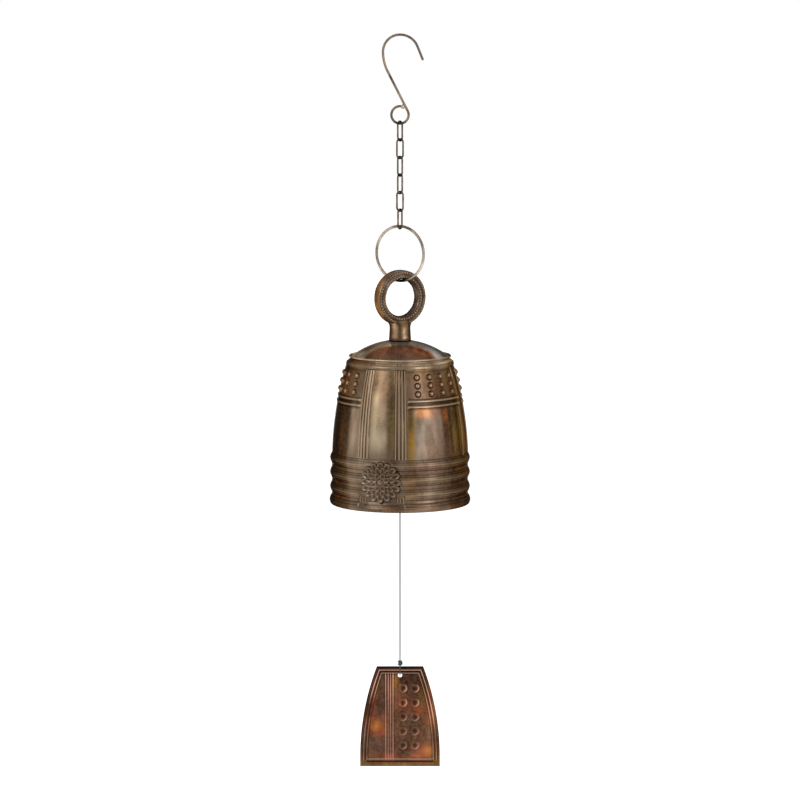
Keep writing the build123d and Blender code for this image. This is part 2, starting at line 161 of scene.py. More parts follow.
class Skin:
    """Gathers grids of points into one mesh object, with marks that its finish reads."""

    def __init__(self, name: str) -> None:
        """Starts an empty skin."""
        self.name = name
        self.count = 0
        self.points: list[np.ndarray] = []
        self.faces: list[np.ndarray] = []
        self.marks: dict[str, list[np.ndarray]] = {"crease": [], "wear_and_highlight": [], "tone": []}

    def keep(self, points: np.ndarray, crease: Marks, wear_and_highlight: Marks, tone: Marks) -> int:
        """Adds points with their marks and gives the number of the first."""
        start, number = self.count, len(points)
        self.count += number
        self.points.append(points)
        self.marks["crease"].append(np.broadcast_to(crease, number))
        self.marks["wear_and_highlight"].append(np.broadcast_to(wear_and_highlight, number))
        self.marks["tone"].append(np.broadcast_to(tone, (number, 3)))
        return start

    def grid(self, points: np.ndarray, joined: Round, crease: Marks = 0.0, wear_and_highlight: Marks = 0.0,
             tone: Marks | Triple = 1.0, inward: bool = False, first_pole: np.ndarray | None = None,
             last_pole: np.ndarray | None = None, tip: tuple | None = None,
             holes: np.ndarray | None = None) -> None:
        """Adds a grid of points, or many alike, whose faces look along row way x column way.

        Args:
            points: The grid, (rows, columns, 3), or the grids, (number, rows, columns, 3).
            joined: Which ways close on themselves.
            crease: How dark each point is painted, 0 to 1: creases, and in places painted shade and painted
                dark reflection.
            wear_and_highlight: How much each point is brightened, 0 to 1: painted highlight and rubbing.
            tone: Colour of each point, for painted finishes.
            inward: Turns the faces round.
            first_pole: Point that closes each first row in a fan.
            last_pole: Point that closes each last row in a fan.
            tip: Brightening (painted highlight and rubbing) and tone of the last pole, where they aren't
                those of its row.
            holes: True for each quad that is left out.
        """
        rows, columns = points.shape[-3:-1]
        marks = [np.broadcast_to(mark, points.shape[:-1]).reshape(-1) for mark in (crease, wear_and_highlight)]
        marks.append(np.broadcast_to(tone, points.shape).reshape(-1, 3))
        start = self.keep(points.reshape(-1, 3), *marks)
        firsts = np.arange(0, points.size // 3, rows * columns)[:, None]
        quads = (grid_quads(rows, columns, joined) + firsts[..., None] + start).reshape(-1, 4)
        parts = [quads if holes is None else quads[~np.ravel(holes)]]
        ring = np.arange(columns)
        for pole, row, way, own in ((first_pole, 0, 1, None), (last_pole, rows - 1, -1, tip)):
            if pole is not None:
                edge = firsts + row * columns
                found = [mark[edge[:, 0]] for mark in marks]
                top = self.keep(np.reshape(pole, (-1, 3)), found[0], *(own or found[1:]))
                fan = np.broadcast_arrays(top + np.arange(len(edge))[:, None],
                                          start + edge + (ring + 1) % columns, start + edge + ring)
                parts.append(np.stack(fan, -1).reshape(-1, 3)[:, ::way])
        self.faces += [part[:, ::-1] if inward else part for part in parts]

    def build(self, crease_angle: float = 40.0) -> bpy.types.Object:
        """Makes the object, smooth but for edges sharper than crease_angle degrees."""
        points = np.concatenate(self.points) * MM
        corners = np.concatenate([face.ravel() for face in self.faces])
        sizes = np.concatenate([np.full(len(face), face.shape[1]) for face in self.faces])
        mesh = bpy.data.meshes.new(self.name)
        mesh.vertices.add(len(points))
        mesh.vertices.foreach_set("co", points.astype(np.float32).ravel())
        mesh.loops.add(len(corners))
        mesh.loops.foreach_set("vertex_index", corners.astype(np.int32))
        mesh.polygons.add(len(sizes))
        mesh.polygons.foreach_set("loop_start", (np.cumsum(sizes) - sizes).astype(np.int32))
        mesh.polygons.foreach_set("use_smooth", np.ones(len(sizes), bool))
        for key in ("crease", "wear_and_highlight"):
            mark = mesh.attributes.new(key, "FLOAT", "POINT")
            mark.data.foreach_set("value", np.concatenate(self.marks[key]).astype(np.float32))
        tone = np.concatenate(self.marks["tone"])
        mark = mesh.attributes.new("tone", "FLOAT_COLOR", "POINT")
        mark.data.foreach_set("color", np.c_[tone, np.ones(len(tone))].astype(np.float32).ravel())
        mesh.update(calc_edges=True)
        mesh.validate()
        mesh.set_sharp_from_angle(angle=math.radians(crease_angle))
        return link(self.name, mesh)


class Relief:
    """Rise, creases and brightening over a sheet's places, built up line by line; the brightening is painted
    highlight and rubbing, and some of the darkening is painted dark reflection.
    """

    def __init__(self, shape: tuple[int, ...]) -> None:
        """Starts flat, clean and dull."""
        self.rise, self.crease, self.wear_and_highlight = np.zeros((3, *shape))

    def darken(self, crease: np.ndarray) -> None:
        """Darkens where this is darker: dark lines, and in places painted dark reflection."""
        self.crease = np.maximum(self.crease, crease)

    def brighten(self, wear_and_highlight: np.ndarray) -> None:
        """Brightens where this is brighter: painted highlight and rubbing."""
        self.wear_and_highlight = np.maximum(self.wear_and_highlight, wear_and_highlight)

    def groove(self, gap: np.ndarray, mask: np.ndarray, darkness: float) -> None:
        """Cuts a fine line at gap 0."""
        groove = ridge(gap, 0.12, 0.42) * mask
        self.rise -= 0.22 * groove
        self.darken(darkness * groove)

    def line(self, gap: np.ndarray, mask: np.ndarray, rise: tuple, wear_and_highlight: tuple, crease: tuple) -> None:
        """Adds a raised line, the shine on its back and the darkening along its feet.

        Args:
            gap: Distance from the line.
            mask: Where the line runs, 0 to 1.
            rise: Its height, half width and slope.
            wear_and_highlight: The brightening's strength (painted highlight and rubbing), half width and
                slope.
            crease: The darkening's strength, distance from the line, half width and slope.
        """
        self.rise += rise[0] * ridge(gap, *rise[1:]) * mask
        self.brighten(wear_and_highlight[0] * ridge(gap, *wear_and_highlight[1:]) * mask)
        self.darken(crease[0] * ridge(np.abs(gap) - crease[1], *crease[2:]) * mask)


def turned(profile: np.ndarray, angles: np.ndarray) -> np.ndarray:
    """A profile of (radius, height) carried round +Z through the angles in radians, one row per point."""
    return polar(profile[:, :1], angles, profile[:, 1:])


def arc(centre: tuple[float, float], radius: float, start: float, turn: float,
        step: float = 4.0) -> np.ndarray:
    """Points of an arc in a plane, from start through turn, in degrees."""
    angles = np.radians(np.linspace(start, start + turn, max(2, math.ceil(abs(turn) / step) + 1)))
    return np.stack([centre[0] + radius * np.cos(angles), centre[1] + radius * np.sin(angles)], -1)


def upright(flat: np.ndarray, yaw: float) -> np.ndarray:
    """Carries points of a plane (along, up) onto the upright plane through the centre line at that yaw."""
    return flat[:, :1] * level(yaw) + flat[:, 1:] * UP


def eased(profile: np.ndarray, reach: float) -> np.ndarray:
    """Rounds each inner corner of a profile with a parabola that leaves its legs reach from the corner."""
    corner, share = profile[1:-1], 0.45
    starts = []
    for leg in (profile[:-2] - corner, profile[2:] - corner):
        size = np.linalg.norm(leg, axis=1, keepdims=True)
        starts.append(corner + leg / size * np.minimum(reach, size * share))
    t = np.linspace(0, 1, 3)[:, None, None]
    curve = (1 - t) ** 2 * starts[0] + 2 * t * (1 - t) * corner + t**2 * starts[1]
    return np.concatenate([profile[:1], curve.transpose(1, 0, 2).reshape(-1, 2), profile[-1:]])


def wire_rings(line: np.ndarray, radius: Marks, sides: int, across: np.ndarray | None = None) -> np.ndarray:
    """Rings of points round a line: ring = point + radius (cos a side + sin a across).

    Args:
        line: Points of the wire's middle.
        radius: The wire's radius, one value or one a point.
        sides: Points in a ring.
        across: The normal of the plane of an open line; a line without it is closed and finds its own.

    Returns:
        The grid of points, one row per line point.
    """
    along = np.roll(line, -1, 0) - np.roll(line, 1, 0) if across is None else np.gradient(line, axis=0)
    along = along / np.linalg.norm(along, axis=1, keepdims=True)
    if across is None:
        across = np.cross(along, np.array([0.31, 0.17, 0.93]))
        across = across / np.linalg.norm(across, axis=1, keepdims=True)
    side = np.cross(across, along)[:, None]
    across = np.broadcast_to(across, line.shape)[:, None]
    turn = full_turn(sides)[:, None]
    radius = np.broadcast_to(radius, len(line))[:, None, None]
    return line[:, None] + radius * (np.cos(turn) * side + np.sin(turn) * across)


def add_wire(skin: Skin, line: np.ndarray, radius: float, sides: int, across: np.ndarray,
             crease: Marks = 0.0) -> None:
    """Adds a wire with rounded ends along an open line in the plane whose normal is across."""
    swell = np.radians([75.0, 50.0, 25.0])
    ends = []
    for point, beside in ((line[0], line[1]), (line[-1], line[-2])):
        reach = 0.8 * radius * (point - beside) / np.linalg.norm(point - beside)
        ends.append((point + np.sin(swell)[:, None] * reach, point + reach))
    middle = np.concatenate([ends[0][0], line, ends[1][0][::-1]])
    thick = radius * np.concatenate([np.cos(swell), np.ones(len(line)), np.cos(swell)[::-1]])
    marks = np.pad(np.broadcast_to(crease, len(line)), len(swell), mode="edge")[:, None]
    skin.grid(wire_rings(middle, thick, sides, across), Round.COLUMNS, marks, first_pole=ends[0][1],
              last_pole=ends[1][1])


# Finishes


class Nodes:
    """A short way to write the nodes of a material or a world."""

    def __init__(self, owner: bpy.types.Material | bpy.types.World, shader: str = "Principled BSDF") -> None:
        """Opens the owner's nodes at its shader."""
        owner.use_nodes = True
        self.tree = owner.node_tree
        self.shader = self.tree.nodes[shader]

    def fill(self, node: bpy.types.Node, inputs: dict) -> None:
        """Links each input to a socket, or gives it a value."""
        for key, value in inputs.items():
            socket = node.inputs[key]
            if isinstance(value, bpy.types.NodeSocket):
                self.tree.links.new(value, socket)
            else:
                socket.default_value = (*value, 1) if socket.type == "RGBA" else value

    def add(self, kind: str, inputs: dict | None = None, **settings) -> bpy.types.Node:
        """Adds a node, sets its properties and fills its inputs."""
        node = self.tree.nodes.new(kind)
        for key, value in settings.items():
            setattr(node, key, value)
        self.fill(node, inputs or {})
        return node

    def place(self, scale: Triple) -> bpy.types.NodeSocket:
        """The piece's own coordinates, stretched by scale."""
        where = self.add("ShaderNodeTexCoord").outputs["Object"]
        return self.add("ShaderNodeMapping", {"Vector": where, "Scale": scale}).outputs["Vector"]

    def opened(self, value, ends: tuple[str, str], low: float, high: float) -> bpy.types.NodeSocket:
        """Carries a value from 0 to 1 onto other ends, or from them onto 0 to 1."""
        inputs = {"Value": value, ends[0]: low, ends[1]: high}
        return self.add("ShaderNodeMapRange", inputs).outputs["Result"]

    def cloud(self, scale: float, detail: float, low: float, high: float,
              stretch: Triple = (1.0, 1.0, 1.0)) -> bpy.types.NodeSocket:
        """Noise in clouds of 1/scale metres, its values from low to high opened out to 0 to 1."""
        inputs = {"Vector": self.place(stretch), "Scale": scale, "Detail": detail, "Roughness": 0.6}
        noise = self.add("ShaderNodeTexNoise", inputs).outputs["Fac"]
        return self.opened(noise, ("From Min", "From Max"), low, high)

    def blend(self, share, first, second, kind: str = "MIX") -> bpy.types.NodeSocket:
        """Mixes two colours."""
        inputs = {0: share, 6: first, 7: second}
        return self.add("ShaderNodeMix", inputs, data_type="RGBA", blend_type=kind).outputs[2]

    def sum(self, kind: str, first, second) -> bpy.types.NodeSocket:
        """One step of arithmetic."""
        return self.add("ShaderNodeMath", {0: first, 1: second}, operation=kind).outputs[0]

    def mark(self, name: str, output: str = "Fac") -> bpy.types.NodeSocket:
        """A mark of the piece, by its name."""
        return self.add("ShaderNodeAttribute", attribute_name=name).outputs[output]

    def bump(self, height: bpy.types.NodeSocket, strength: float, distance: float) -> bpy.types.NodeSocket:
        """Normals bent by a height."""
        inputs = {"Height": height, "Strength": strength, "Distance": distance}
        return self.add("ShaderNodeBump", inputs).outputs["Normal"]


@dataclass(frozen=True)
class AgedMetal:
    """Patinated metal: clouds and streaks of two tones, dark creases, edges brightened by painted highlight
    and rubbing, and fine grain.
    """

    name: str
    light: Triple
    dark: Triple
    crease: Triple
    # Tone of the brightened places: painted highlight and rubbing
    wear_and_highlight_tone: Triple
    painted: bool = False
    metal: float = 0.8
    gloss: tuple[float, float] = (0.3, 0.5)
    cloud_scale: float = 70.0
    stretch: Triple = (1.0, 1.0, 1.0)
    detail: float = 5.0
    fleck: float = 0.1
    grain: float = 0.00002
    # Edge tint, dark so that outlines show a painted dark reflection
    edge: Triple = (0.09, 0.07, 0.055)

    def build(self) -> bpy.types.Material:
        """Makes the material."""
        material = bpy.data.materials.new(self.name)
        nodes = Nodes(material)
        dark = tint(*self.dark)
        clouds = nodes.cloud(self.cloud_scale, self.detail, 0.36, 0.64, self.stretch)
        specks = nodes.cloud(420, 2, 0.35, 0.65)
        colour = nodes.blend(clouds, tint(*self.light), dark)
        if self.painted:
            colour = nodes.blend(1.0, nodes.mark("tone", "Color"), colour, "MULTIPLY")
        colour = nodes.blend(nodes.sum("MULTIPLY", specks, self.fleck), colour, dark)
        # Brightened by painted highlight and rubbing, then darkened in creases, by painted shade and by
        # painted dark reflection
        colour = nodes.blend(nodes.mark("wear_and_highlight"), colour, tint(*self.wear_and_highlight_tone))
        colour = nodes.blend(nodes.mark("crease"), colour, tint(*self.crease))
        nodes.fill(nodes.shader, {
            "Base Color": colour, "Metallic": self.metal, "Specular IOR Level": 0.0,
            "Specular Tint": self.edge, "Normal": nodes.bump(specks, 0.3, self.grain),
            "Roughness": nodes.opened(clouds, ("To Min", "To Max"), *self.gloss)})
        return material


@dataclass(frozen=True)
class WaxedCord:
    """Twisted waxed cord: slanting strands and a soft sheen."""

    name: str
    light: Triple
    dark: Triple

    def build(self) -> bpy.types.Material:
        """Makes the material: bands that slant across the cord, with fluff between them."""
        material = bpy.data.materials.new(self.name)
        nodes = Nodes(material)
        light, dark = tint(*self.light), tint(*self.dark)
        bands = {"Vector": nodes.place((1.0, 1.0, 1.0)), "Scale": 330.0, "Distortion": 1.5, "Detail": 2.0}
        strands = nodes.add("ShaderNodeTexWave", bands, wave_type="BANDS",
                            bands_direction="DIAGONAL").outputs["Fac"]
        fluff = nodes.sum("MULTIPLY", nodes.cloud(2200, 3, 0.3, 0.7), 0.35)
        nodes.fill(nodes.shader, {
            "Base Color": nodes.blend(fluff, nodes.blend(strands, dark, light), dark), "Roughness": 0.62,
            "Sheen Weight": 0.25, "Normal": nodes.bump(strands, 0.7, 0.00012)})
        return material


# Edge tint of bare wire, in linear values: near black, so the wires' outlines show a painted dark reflection
WIRE_EDGE = (0.03, 0.022, 0.016)


class Finish(Enum):
    """The finishes of the bell's pieces: light, dark, crease and brightened tones (painted highlight and
    rubbing), then what sets them apart.
    """

    HOOK = AgedMetal("hook_wire_patina", (146, 128, 108), (66, 56, 47), (24, 17, 12), (196, 164, 132),
                     cloud_scale=110, stretch=(1.0, 1.0, 0.5), gloss=(0.18, 0.34), edge=WIRE_EDGE)
    CHAIN = AgedMetal("chain_wire_patina", (128, 110, 90), (58, 48, 40), (14, 10, 8), (170, 146, 116),
                      cloud_scale=240, gloss=(0.2, 0.36), edge=WIRE_EDGE)
    RING = AgedMetal("ring_wire_patina", (204, 186, 166), (56, 45, 34), (20, 15, 11), (204, 178, 140),
                     cloud_scale=48, gloss=(0.16, 0.3), edge=(0.02, 0.014, 0.01))
    EYE = AgedMetal("crown_eye_bronze", (240, 232, 222), (168, 154, 142), (22, 14, 9), (176, 154, 128),
                    painted=True, cloud_scale=130)
    BELL = AgedMetal("bell_bronze", (255, 250, 244), (172, 156, 140), (40, 28, 19), (168, 145, 120),
                     painted=True, cloud_scale=55, stretch=(1.0, 1.0, 0.3), gloss=(0.24, 0.4), detail=2.5)
    INSIDE = AgedMetal("bell_inside_bronze", (92, 68, 48), (48, 34, 24), (24, 17, 12), (110, 86, 62),
                       cloud_scale=60, gloss=(0.45, 0.65))
    CLAPPER = AgedMetal("clapper_bronze", (120, 92, 64), (66, 48, 34), (28, 20, 14), (146, 116, 84),
                        cloud_scale=90)
    FASTENER = AgedMetal("fastener_brass", (176, 146, 92), (104, 82, 52), (40, 30, 20), (190, 164, 116),
                         cloud_scale=180)
    SAIL = AgedMetal("sail_copper", (255, 246, 236), (178, 158, 142), (30, 15, 9), (214, 168, 146),
                     painted=True, cloud_scale=60, stretch=(1.0, 1.0, 0.45), gloss=(0.24, 0.4), detail=2.0)
    CORD = WaxedCord("waxed_cord", (74, 84, 80), (30, 37, 37))

    def put_on(self, piece: bpy.types.Object) -> None:
        """Gives the piece this finish, made once and shared."""
        material = bpy.data.materials.get(self.value.name) or self.value.build()
        piece.data.materials.clear()
        piece.data.materials.append(material)


def seat(piece: bpy.types.Object, body: str, finish: Finish, slot: str, *stands_for: str) -> bpy.types.Object:
    """Finishes a piece, sets it on its body, and has it stand for its CAD nodes.

    Args:
        piece: The new piece.
        body: The body it rides on.
        finish: Its finish.
        slot: The record's material slot; not used.
        *stands_for: The nodes that it replaces.

    Returns:
        The piece.
    """
    finish.put_on(piece)
    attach(piece, body)
    if stands_for:
        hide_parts(*stands_for)
    faces = len(piece.data.polygons) if piece.type == "MESH" else 0
    LOG.info("%s rides on %s, %d faces", piece.name, body, faces)
    return piece


# Hook, chain and ring


@dataclass
class Hook:
    """The wire hook: an open arch, a back that leans in, and a brazed eye."""

    wire: float = 1.8
    back_radius: float = 12.6
    front_radius: float = 14.0
    front_turn: float = 68.0
    tip_length: float = 10.2
    lean_radius: float = 32.0
    lean: float = 27.0
    eye_radius: float = 6.4
    braze_radius: float = 1.35
    braze_half_length: float = 1.7
    braze_depth: float = 0.86

    @property
    def eye_z(self) -> float:
        """Height of the eye's middle, where the leaning stem brings it under the arch."""
        lean = math.radians(self.lean)
        across = self.back_radius - self.lean_radius * (1 - math.cos(lean)) + self.eye_radius * math.cos(lean)
        stem = across / math.sin(lean)
        return (self.wire / 2 - self.back_radius - stem * math.cos(lean)
                - (self.lean_radius + self.eye_radius) * math.sin(lean))

    def line(self) -> np.ndarray:
        """The wire's middle: tip, front arc, back arc, leaning arc, stem and eye."""
        crown = self.wire / 2
        middle = crown - self.back_radius
        front = arc((0, crown - self.front_radius), self.front_radius, 90 - self.front_turn, self.front_turn)
        way = math.radians(self.front_turn)
        tip = front[0] + self.tip_length * np.array([math.cos(way), -math.sin(way)])
        tips = tip + (front[0] - tip) * np.linspace(0, 1, 5)[:-1, None]
        back = arc((0, middle), self.back_radius, 90, 90)
        leaning = arc((self.lean_radius - self.back_radius, middle), self.lean_radius, 180, self.lean)
        closing = math.degrees(math.acos(1 - self.wire / self.eye_radius))
        eye = arc((0, self.eye_z), self.eye_radius, self.lean, closing - 360)
        return np.concatenate([tips, front[:-1], back[:-1], leaning, eye])

    def build(self) -> None:
        """The wire with dark bends where it bears, and the braze where its end meets the stem."""
        line = upright(self.line(), 0)
        skin = Skin("hook_wire")
        low = smooth_step(self.eye_z - 3, self.eye_z - self.eye_radius, line[:, 2])
        add_wire(skin, line, self.wire / 2, 16, level(-90), 0.8 * low)
        seat(skin.build(), "hook", Finish.HOOK, "hook_wire", "hook")
        up, turn = np.radians(np.linspace(-72, 72, 9))[:, None], full_turn(16)
        out = np.cos(up) * self.braze_radius * (1 + 0.12 * np.cos(3 * turn))
        ball = polar(out, turn, self.braze_half_length * np.sin(up)) * [1, self.braze_depth, 1]
        tip = (self.braze_half_length + 0.05) * UP
        braze = Skin("hook_braze")
        braze.grid(ball + line[-1], Round.COLUMNS, wear_and_highlight=0.75, first_pole=line[-1] - tip,
                   last_pole=line[-1] + tip)
        seat(braze.build(), "hook", Finish.HOOK, "hook_wire")


@dataclass
class Chain:
    """Six oblong wire links, each butted in the middle of one leg."""

    bearing_z: float
    carrier_wire: float
    wire: float = 1.3
    width: float = 6.9
    inner_length: float = 13.2
    yaws: tuple[float, ...] = (-54.0, 36.0, -54.0, 54.0, -36.0, 59.0)
    seam_sides: tuple[int, ...] = (-1, 1, 1, 1, -1, 1)
    seam_gaps: tuple[float, ...] = (0.6, 0.2, 0.2, 0.6, 0.2, 0.2)

    def build(self) -> float:
        """Makes the links from the top down and gives the height at which the last one bears."""
        bend = (self.width - self.wire) / 2
        span = self.inner_length + self.wire
        leg, bearing, above = span / 2 - bend, self.bearing_z, self.carrier_wire
        for number, (yaw, side, gap) in enumerate(zip(self.yaws, self.seam_sides, self.seam_gaps), start=1):
            top = hung(bearing, above, self.wire)
            heights = np.array([*np.linspace(gap / 2, leg, 5)[:-1], -leg * 0.5, -gap / 2])
            seam_leg = np.stack([side * bend + 0 * heights, heights], -1)
            upper = arc((0, leg), bend, 90 - side * 90, side * 180, 10)
            lower = arc((0, -leg), bend, 90 + side * 90, side * 180, 10)
            flat = np.concatenate([seam_leg[:4], upper, lower, seam_leg[4:]])
            near = smooth_step(span / 2 - 2.4, span / 2, np.abs(flat[:, 1]))
            skin = Skin(f"link_{number}_wire")
            line = upright(flat + [0, top - span / 2], yaw)
            add_wire(skin, line, self.wire / 2, 12, level(yaw - 90), 0.85 * near)
            seat(skin.build(), f"link_{number}", Finish.CHAIN, "hook_wire", f"chain_link_{number}")
            bearing, above = top - span, self.wire
        return bearing


@dataclass
class WireRing:
    """A ring of round wire with a butt seam, hung on what is above it."""

    name: str
    body: str
    node: str
    yaw: float
    bearing_z: float
    above: float
    radius: float
    wire: float
    seam_angle: float
    seam_gap: float
    play: float = PLAY

    @property
    def foot_z(self) -> float:
        """Height of the wire's middle at the ring's foot."""
        return hung(self.bearing_z, self.above, self.wire, self.play) - 2 * self.radius

    def build(self) -> None:
        """The ring, dark at the seam and where it bears above and below."""
        half = math.degrees(self.seam_gap / 2 / self.radius)
        flat = arc((0, 0), self.radius, self.seam_angle + half, 360 - 2 * half, 3)
        # Painted shade at the ring's top and foot, where it bears on the pieces it meets
        painted_light = smooth_step(0.93, 1.0, np.abs(flat[:, 1]) / self.radius)
        skin = Skin(self.name)
        line = upright(flat + [0, self.foot_z + self.radius], self.yaw)
        add_wire(skin, line, self.wire / 2, 16, level(self.yaw - 90), 0.7 * painted_light)
        seat(skin.build(), self.body, Finish.RING, "ring_wire", self.node)


# Crown eye


@dataclass
class CrownEye:
    """The cast ring on its neck, with two rows of beads on each face, and its hidden stud and tang."""

    bearing_z: float
    play: float = 0.7
    yaw: float = 31.0
    hole_radius: float = 14.25
    section: float = 6.5
    depth: float = 9.0
    neck_height: float = 12.1
    neck_overlap: float = 2.2
    neck_radii: tuple[float, float] = (8.3, 7.8)
    neck_sink: float = 1.7
    web: tuple[float, float] = (12.2, 4.2)
    web_height: float = 6.0
    web_rise: float = 2.0
    bead_rows: tuple[float, float] = (15.75, 18.95)
    bead_pitch: float = 2.15
    bead_radius: float = 1.02
    stud_radius: float = 3.0
    stud_foot: float = -8.8
    tang_length: float = 8.0
    tang_thickness: float = 2.0
    tang_round: float = 3.35
    tang_hole: float = 3.6
    tang_hole_inset: float = 3.2

    @property
    def centre_z(self) -> float:
        """Height of the hole's middle."""
        return self.bearing_z + self.play - self.hole_radius

    @property
    def foot_z(self) -> float:
        """Height of the neck's foot, which stands on the bell's crown."""
        return self.centre_z - self.hole_radius - self.section + self.neck_overlap - self.neck_height

    @property
    def tang_hole_z(self) -> float:
        """Height of the middle of the tang's cross hole."""
        return self.foot_z + self.stud_foot - self.tang_length + self.tang_hole_inset

    def add_ring(self, skin: Skin) -> None:
        """Adds the ring: a squared oval section (|x/a|^3.4 + |y/b|^3.4 = 1) carried round the hole."""
        around, section = full_turn(120)[:, None], full_turn(36)
        power = 2 / 3.4
        out, deep = (np.sign(part) * np.abs(part) ** power * size / 2 for part, size in
                     ((np.cos(section), self.section), (np.sin(section), self.depth)))
        face = np.abs(deep) > self.depth * 0.4
        groove = ridge(np.abs(out) - 0.1, 0.3, 0.5) * face
        deep = deep - np.sign(deep) * 0.5 * groove
        bulge = 0.58 * smooth_step(-0.3, -0.95, np.cos(section)) * (1 - (deep / self.depth * 2) ** 2)
        flat = (self.hole_radius + self.section / 2 + out - bulge)[:, None]
        points = (flat * np.cos(around)[..., None] * level(self.yaw) + flat * np.sin(around)[..., None] * UP
                  + deep[:, None] * level(self.yaw - 90) + self.centre_z * UP)
        track = np.maximum(ridge(out + 1.75, 0.8, 0.4), ridge(out - 1.45, 0.8, 0.4)) * face
        # Painted light from the left and above: left limb and top painted lighter, a golden band on the left
        # limb's outer side, and the hole's inner wall painted darker as shade
        left, top = smooth_step(-0.2, -0.9, np.cos(around)), smooth_step(0.2, 0.9, np.sin(around))
        tone = lay_over(tint(112, 96, 84), left, 140, 118, 92)
        tone = lay_over(tone, 0.7 * top, 146, 134, 124)
        tone = lay_over(tone, smooth_step(0.72, 1.0, np.cos(section)) * left, 174, 132, 88)
        tone = lay_over(tone, 0.45 * smooth_step(-0.5, -0.9, np.cos(section)), 104, 92, 78)
        skin.grid(points, Round.BOTH, np.maximum(0.55 * groove, 0.3 * track), tone=tone, inward=True)

    def add_neck(self, skin: Skin) -> None:
        """Adds the stud and the neck, whose top spreads into a web under the ring."""
        low, high = self.neck_radii
        foot, top = self.foot_z - self.neck_sink, self.foot_z + self.neck_height + self.web_rise
        profile = eased(np.array([
            [self.stud_radius, self.foot_z + self.stud_foot], [self.stud_radius, foot], [low - 0.3, foot],
            [low, foot + 0.5], [low - 0.1, foot + 2.4], [low - 0.15, foot + 2.9],
            *([high, height] for height in top - np.arange(self.web_height, -1, -1))]), 0.5)
        radius, height, turns = profile[:, :1], profile[:, 1:], full_turn(72)
        # Six light upright bands round the neck are painted highlights between darker bands
        front = turns + math.radians(self.yaw) + math.pi / 2
        tone = lay_over(tint(84, 68, 42), 0.5 - 0.5 * np.cos(6 * front), 192, 164, 132)
        tone = lay_over(tone, 1.0 * (height < foot + 2.5), 112, 80, 68)
        web = np.clip((height - top + self.web_height) / self.web_height, 0, 1) ** 2
        wide, deep = (radius * (1 + web * (reach / high - 1)) for reach in self.web)
        neck = ((wide * np.cos(turns))[..., None] * level(self.yaw)
                + (deep * np.sin(turns))[..., None] * level(self.yaw + 90) + height[..., None] * UP)
        skin.grid(neck, Round.COLUMNS, 0.9 * ridge(height - foot, 0.35, 0.9), tone=tone,
                  first_pole=profile[0, 1] * UP, last_pole=top * UP)

    def add_beads(self, skin: Skin, row: float, side: int) -> None:
        """Adds one row of beads: low domes r (cos u cos v, cos u sin v, 0.8 sin u), all as one array.

        Args:
            skin: What they are added to.
            row: Distance of the beads from the hole's middle.
            side: 1 for the face that looks right and forward, -1 for the other.
        """
        spots = full_turn(round(2 * math.pi * row / self.bead_pitch))[:, None, None, None]
        up, turn = np.radians([-18.0, 14.0, 46.0])[:, None, None], full_turn(10)[:, None]
        along, across = level(self.yaw), level(self.yaw - 90) * side
        out = np.cos(spots) * along + np.sin(spots) * UP
        way = np.cos(spots) * UP - np.sin(spots) * along
        base = out * row + across * (self.depth / 2 - 0.35) + self.centre_z * UP
        size = self.bead_radius * (1 + 0.14 * np.sin(5.3 * np.arange(len(spots)) + row)[:, None, None, None])
        points = base + size * (np.cos(up) * (np.cos(turn) * out + np.sin(turn) * way * side)
                                + 0.8 * np.sin(up) * across)
        # Beads painted dark at their feet, with painted highlight on their tops
        skin.grid(points, Round.COLUMNS, np.array([[0.7], [0.3], [0.0]]), np.array([[0.0], [0.0], [0.15]]),
                  tint(122, 102, 82), last_pole=base + 0.8 * size * across, tip=(0.4, tint(140, 120, 98)))

    def add_tang(self, skin: Skin) -> None:
        """Adds the stud's flat end with its cross hole: a four-cornered section carried round the hole."""
        turns = full_turn(48)
        circle = np.stack([np.cos(turns), np.sin(turns)], -1)
        wide, high = np.maximum(np.abs(circle), 1e-6).T
        below = circle[:, 1] < 0
        reach = np.minimum(self.stud_radius / wide, np.where(
            circle[:, 1] > 0, self.tang_length - self.tang_hole_inset, self.tang_hole_inset) / high)
        edge = circle * np.where(below, np.minimum(reach, self.tang_round), reach)[:, None]
        hole = circle * self.tang_hole / 2
        rows = [upright(flat + [0, self.tang_hole_z], self.yaw)
                + side * self.tang_thickness / 2 * level(self.yaw - 90)
                for flat, side in ((hole, 1), (edge, 1), (edge, -1), (hole, -1))]
        skin.grid(np.stack(rows), Round.BOTH, tone=tint(120, 98, 66), inward=True)

    def build(self) -> None:
        """Makes the ring with its neck and stud, the beads and the tang."""
        cast, beads, tang = (Skin(f"crown_{name}") for name in ("eye_cast", "eye_beads", "tang"))
        self.add_ring(cast)
        self.add_neck(cast)
        seat(cast.build(), "bell", Finish.EYE, "cast_bronze", "crown_eye")
        for side in (1, -1):
            for row in self.bead_rows:
                self.add_beads(beads, row, side)
        seat(beads.build(80), "bell", Finish.EYE, "cast_bronze")
        self.add_tang(tang)
        seat(tang.build(30), "bell", Finish.EYE, "cast_bronze")
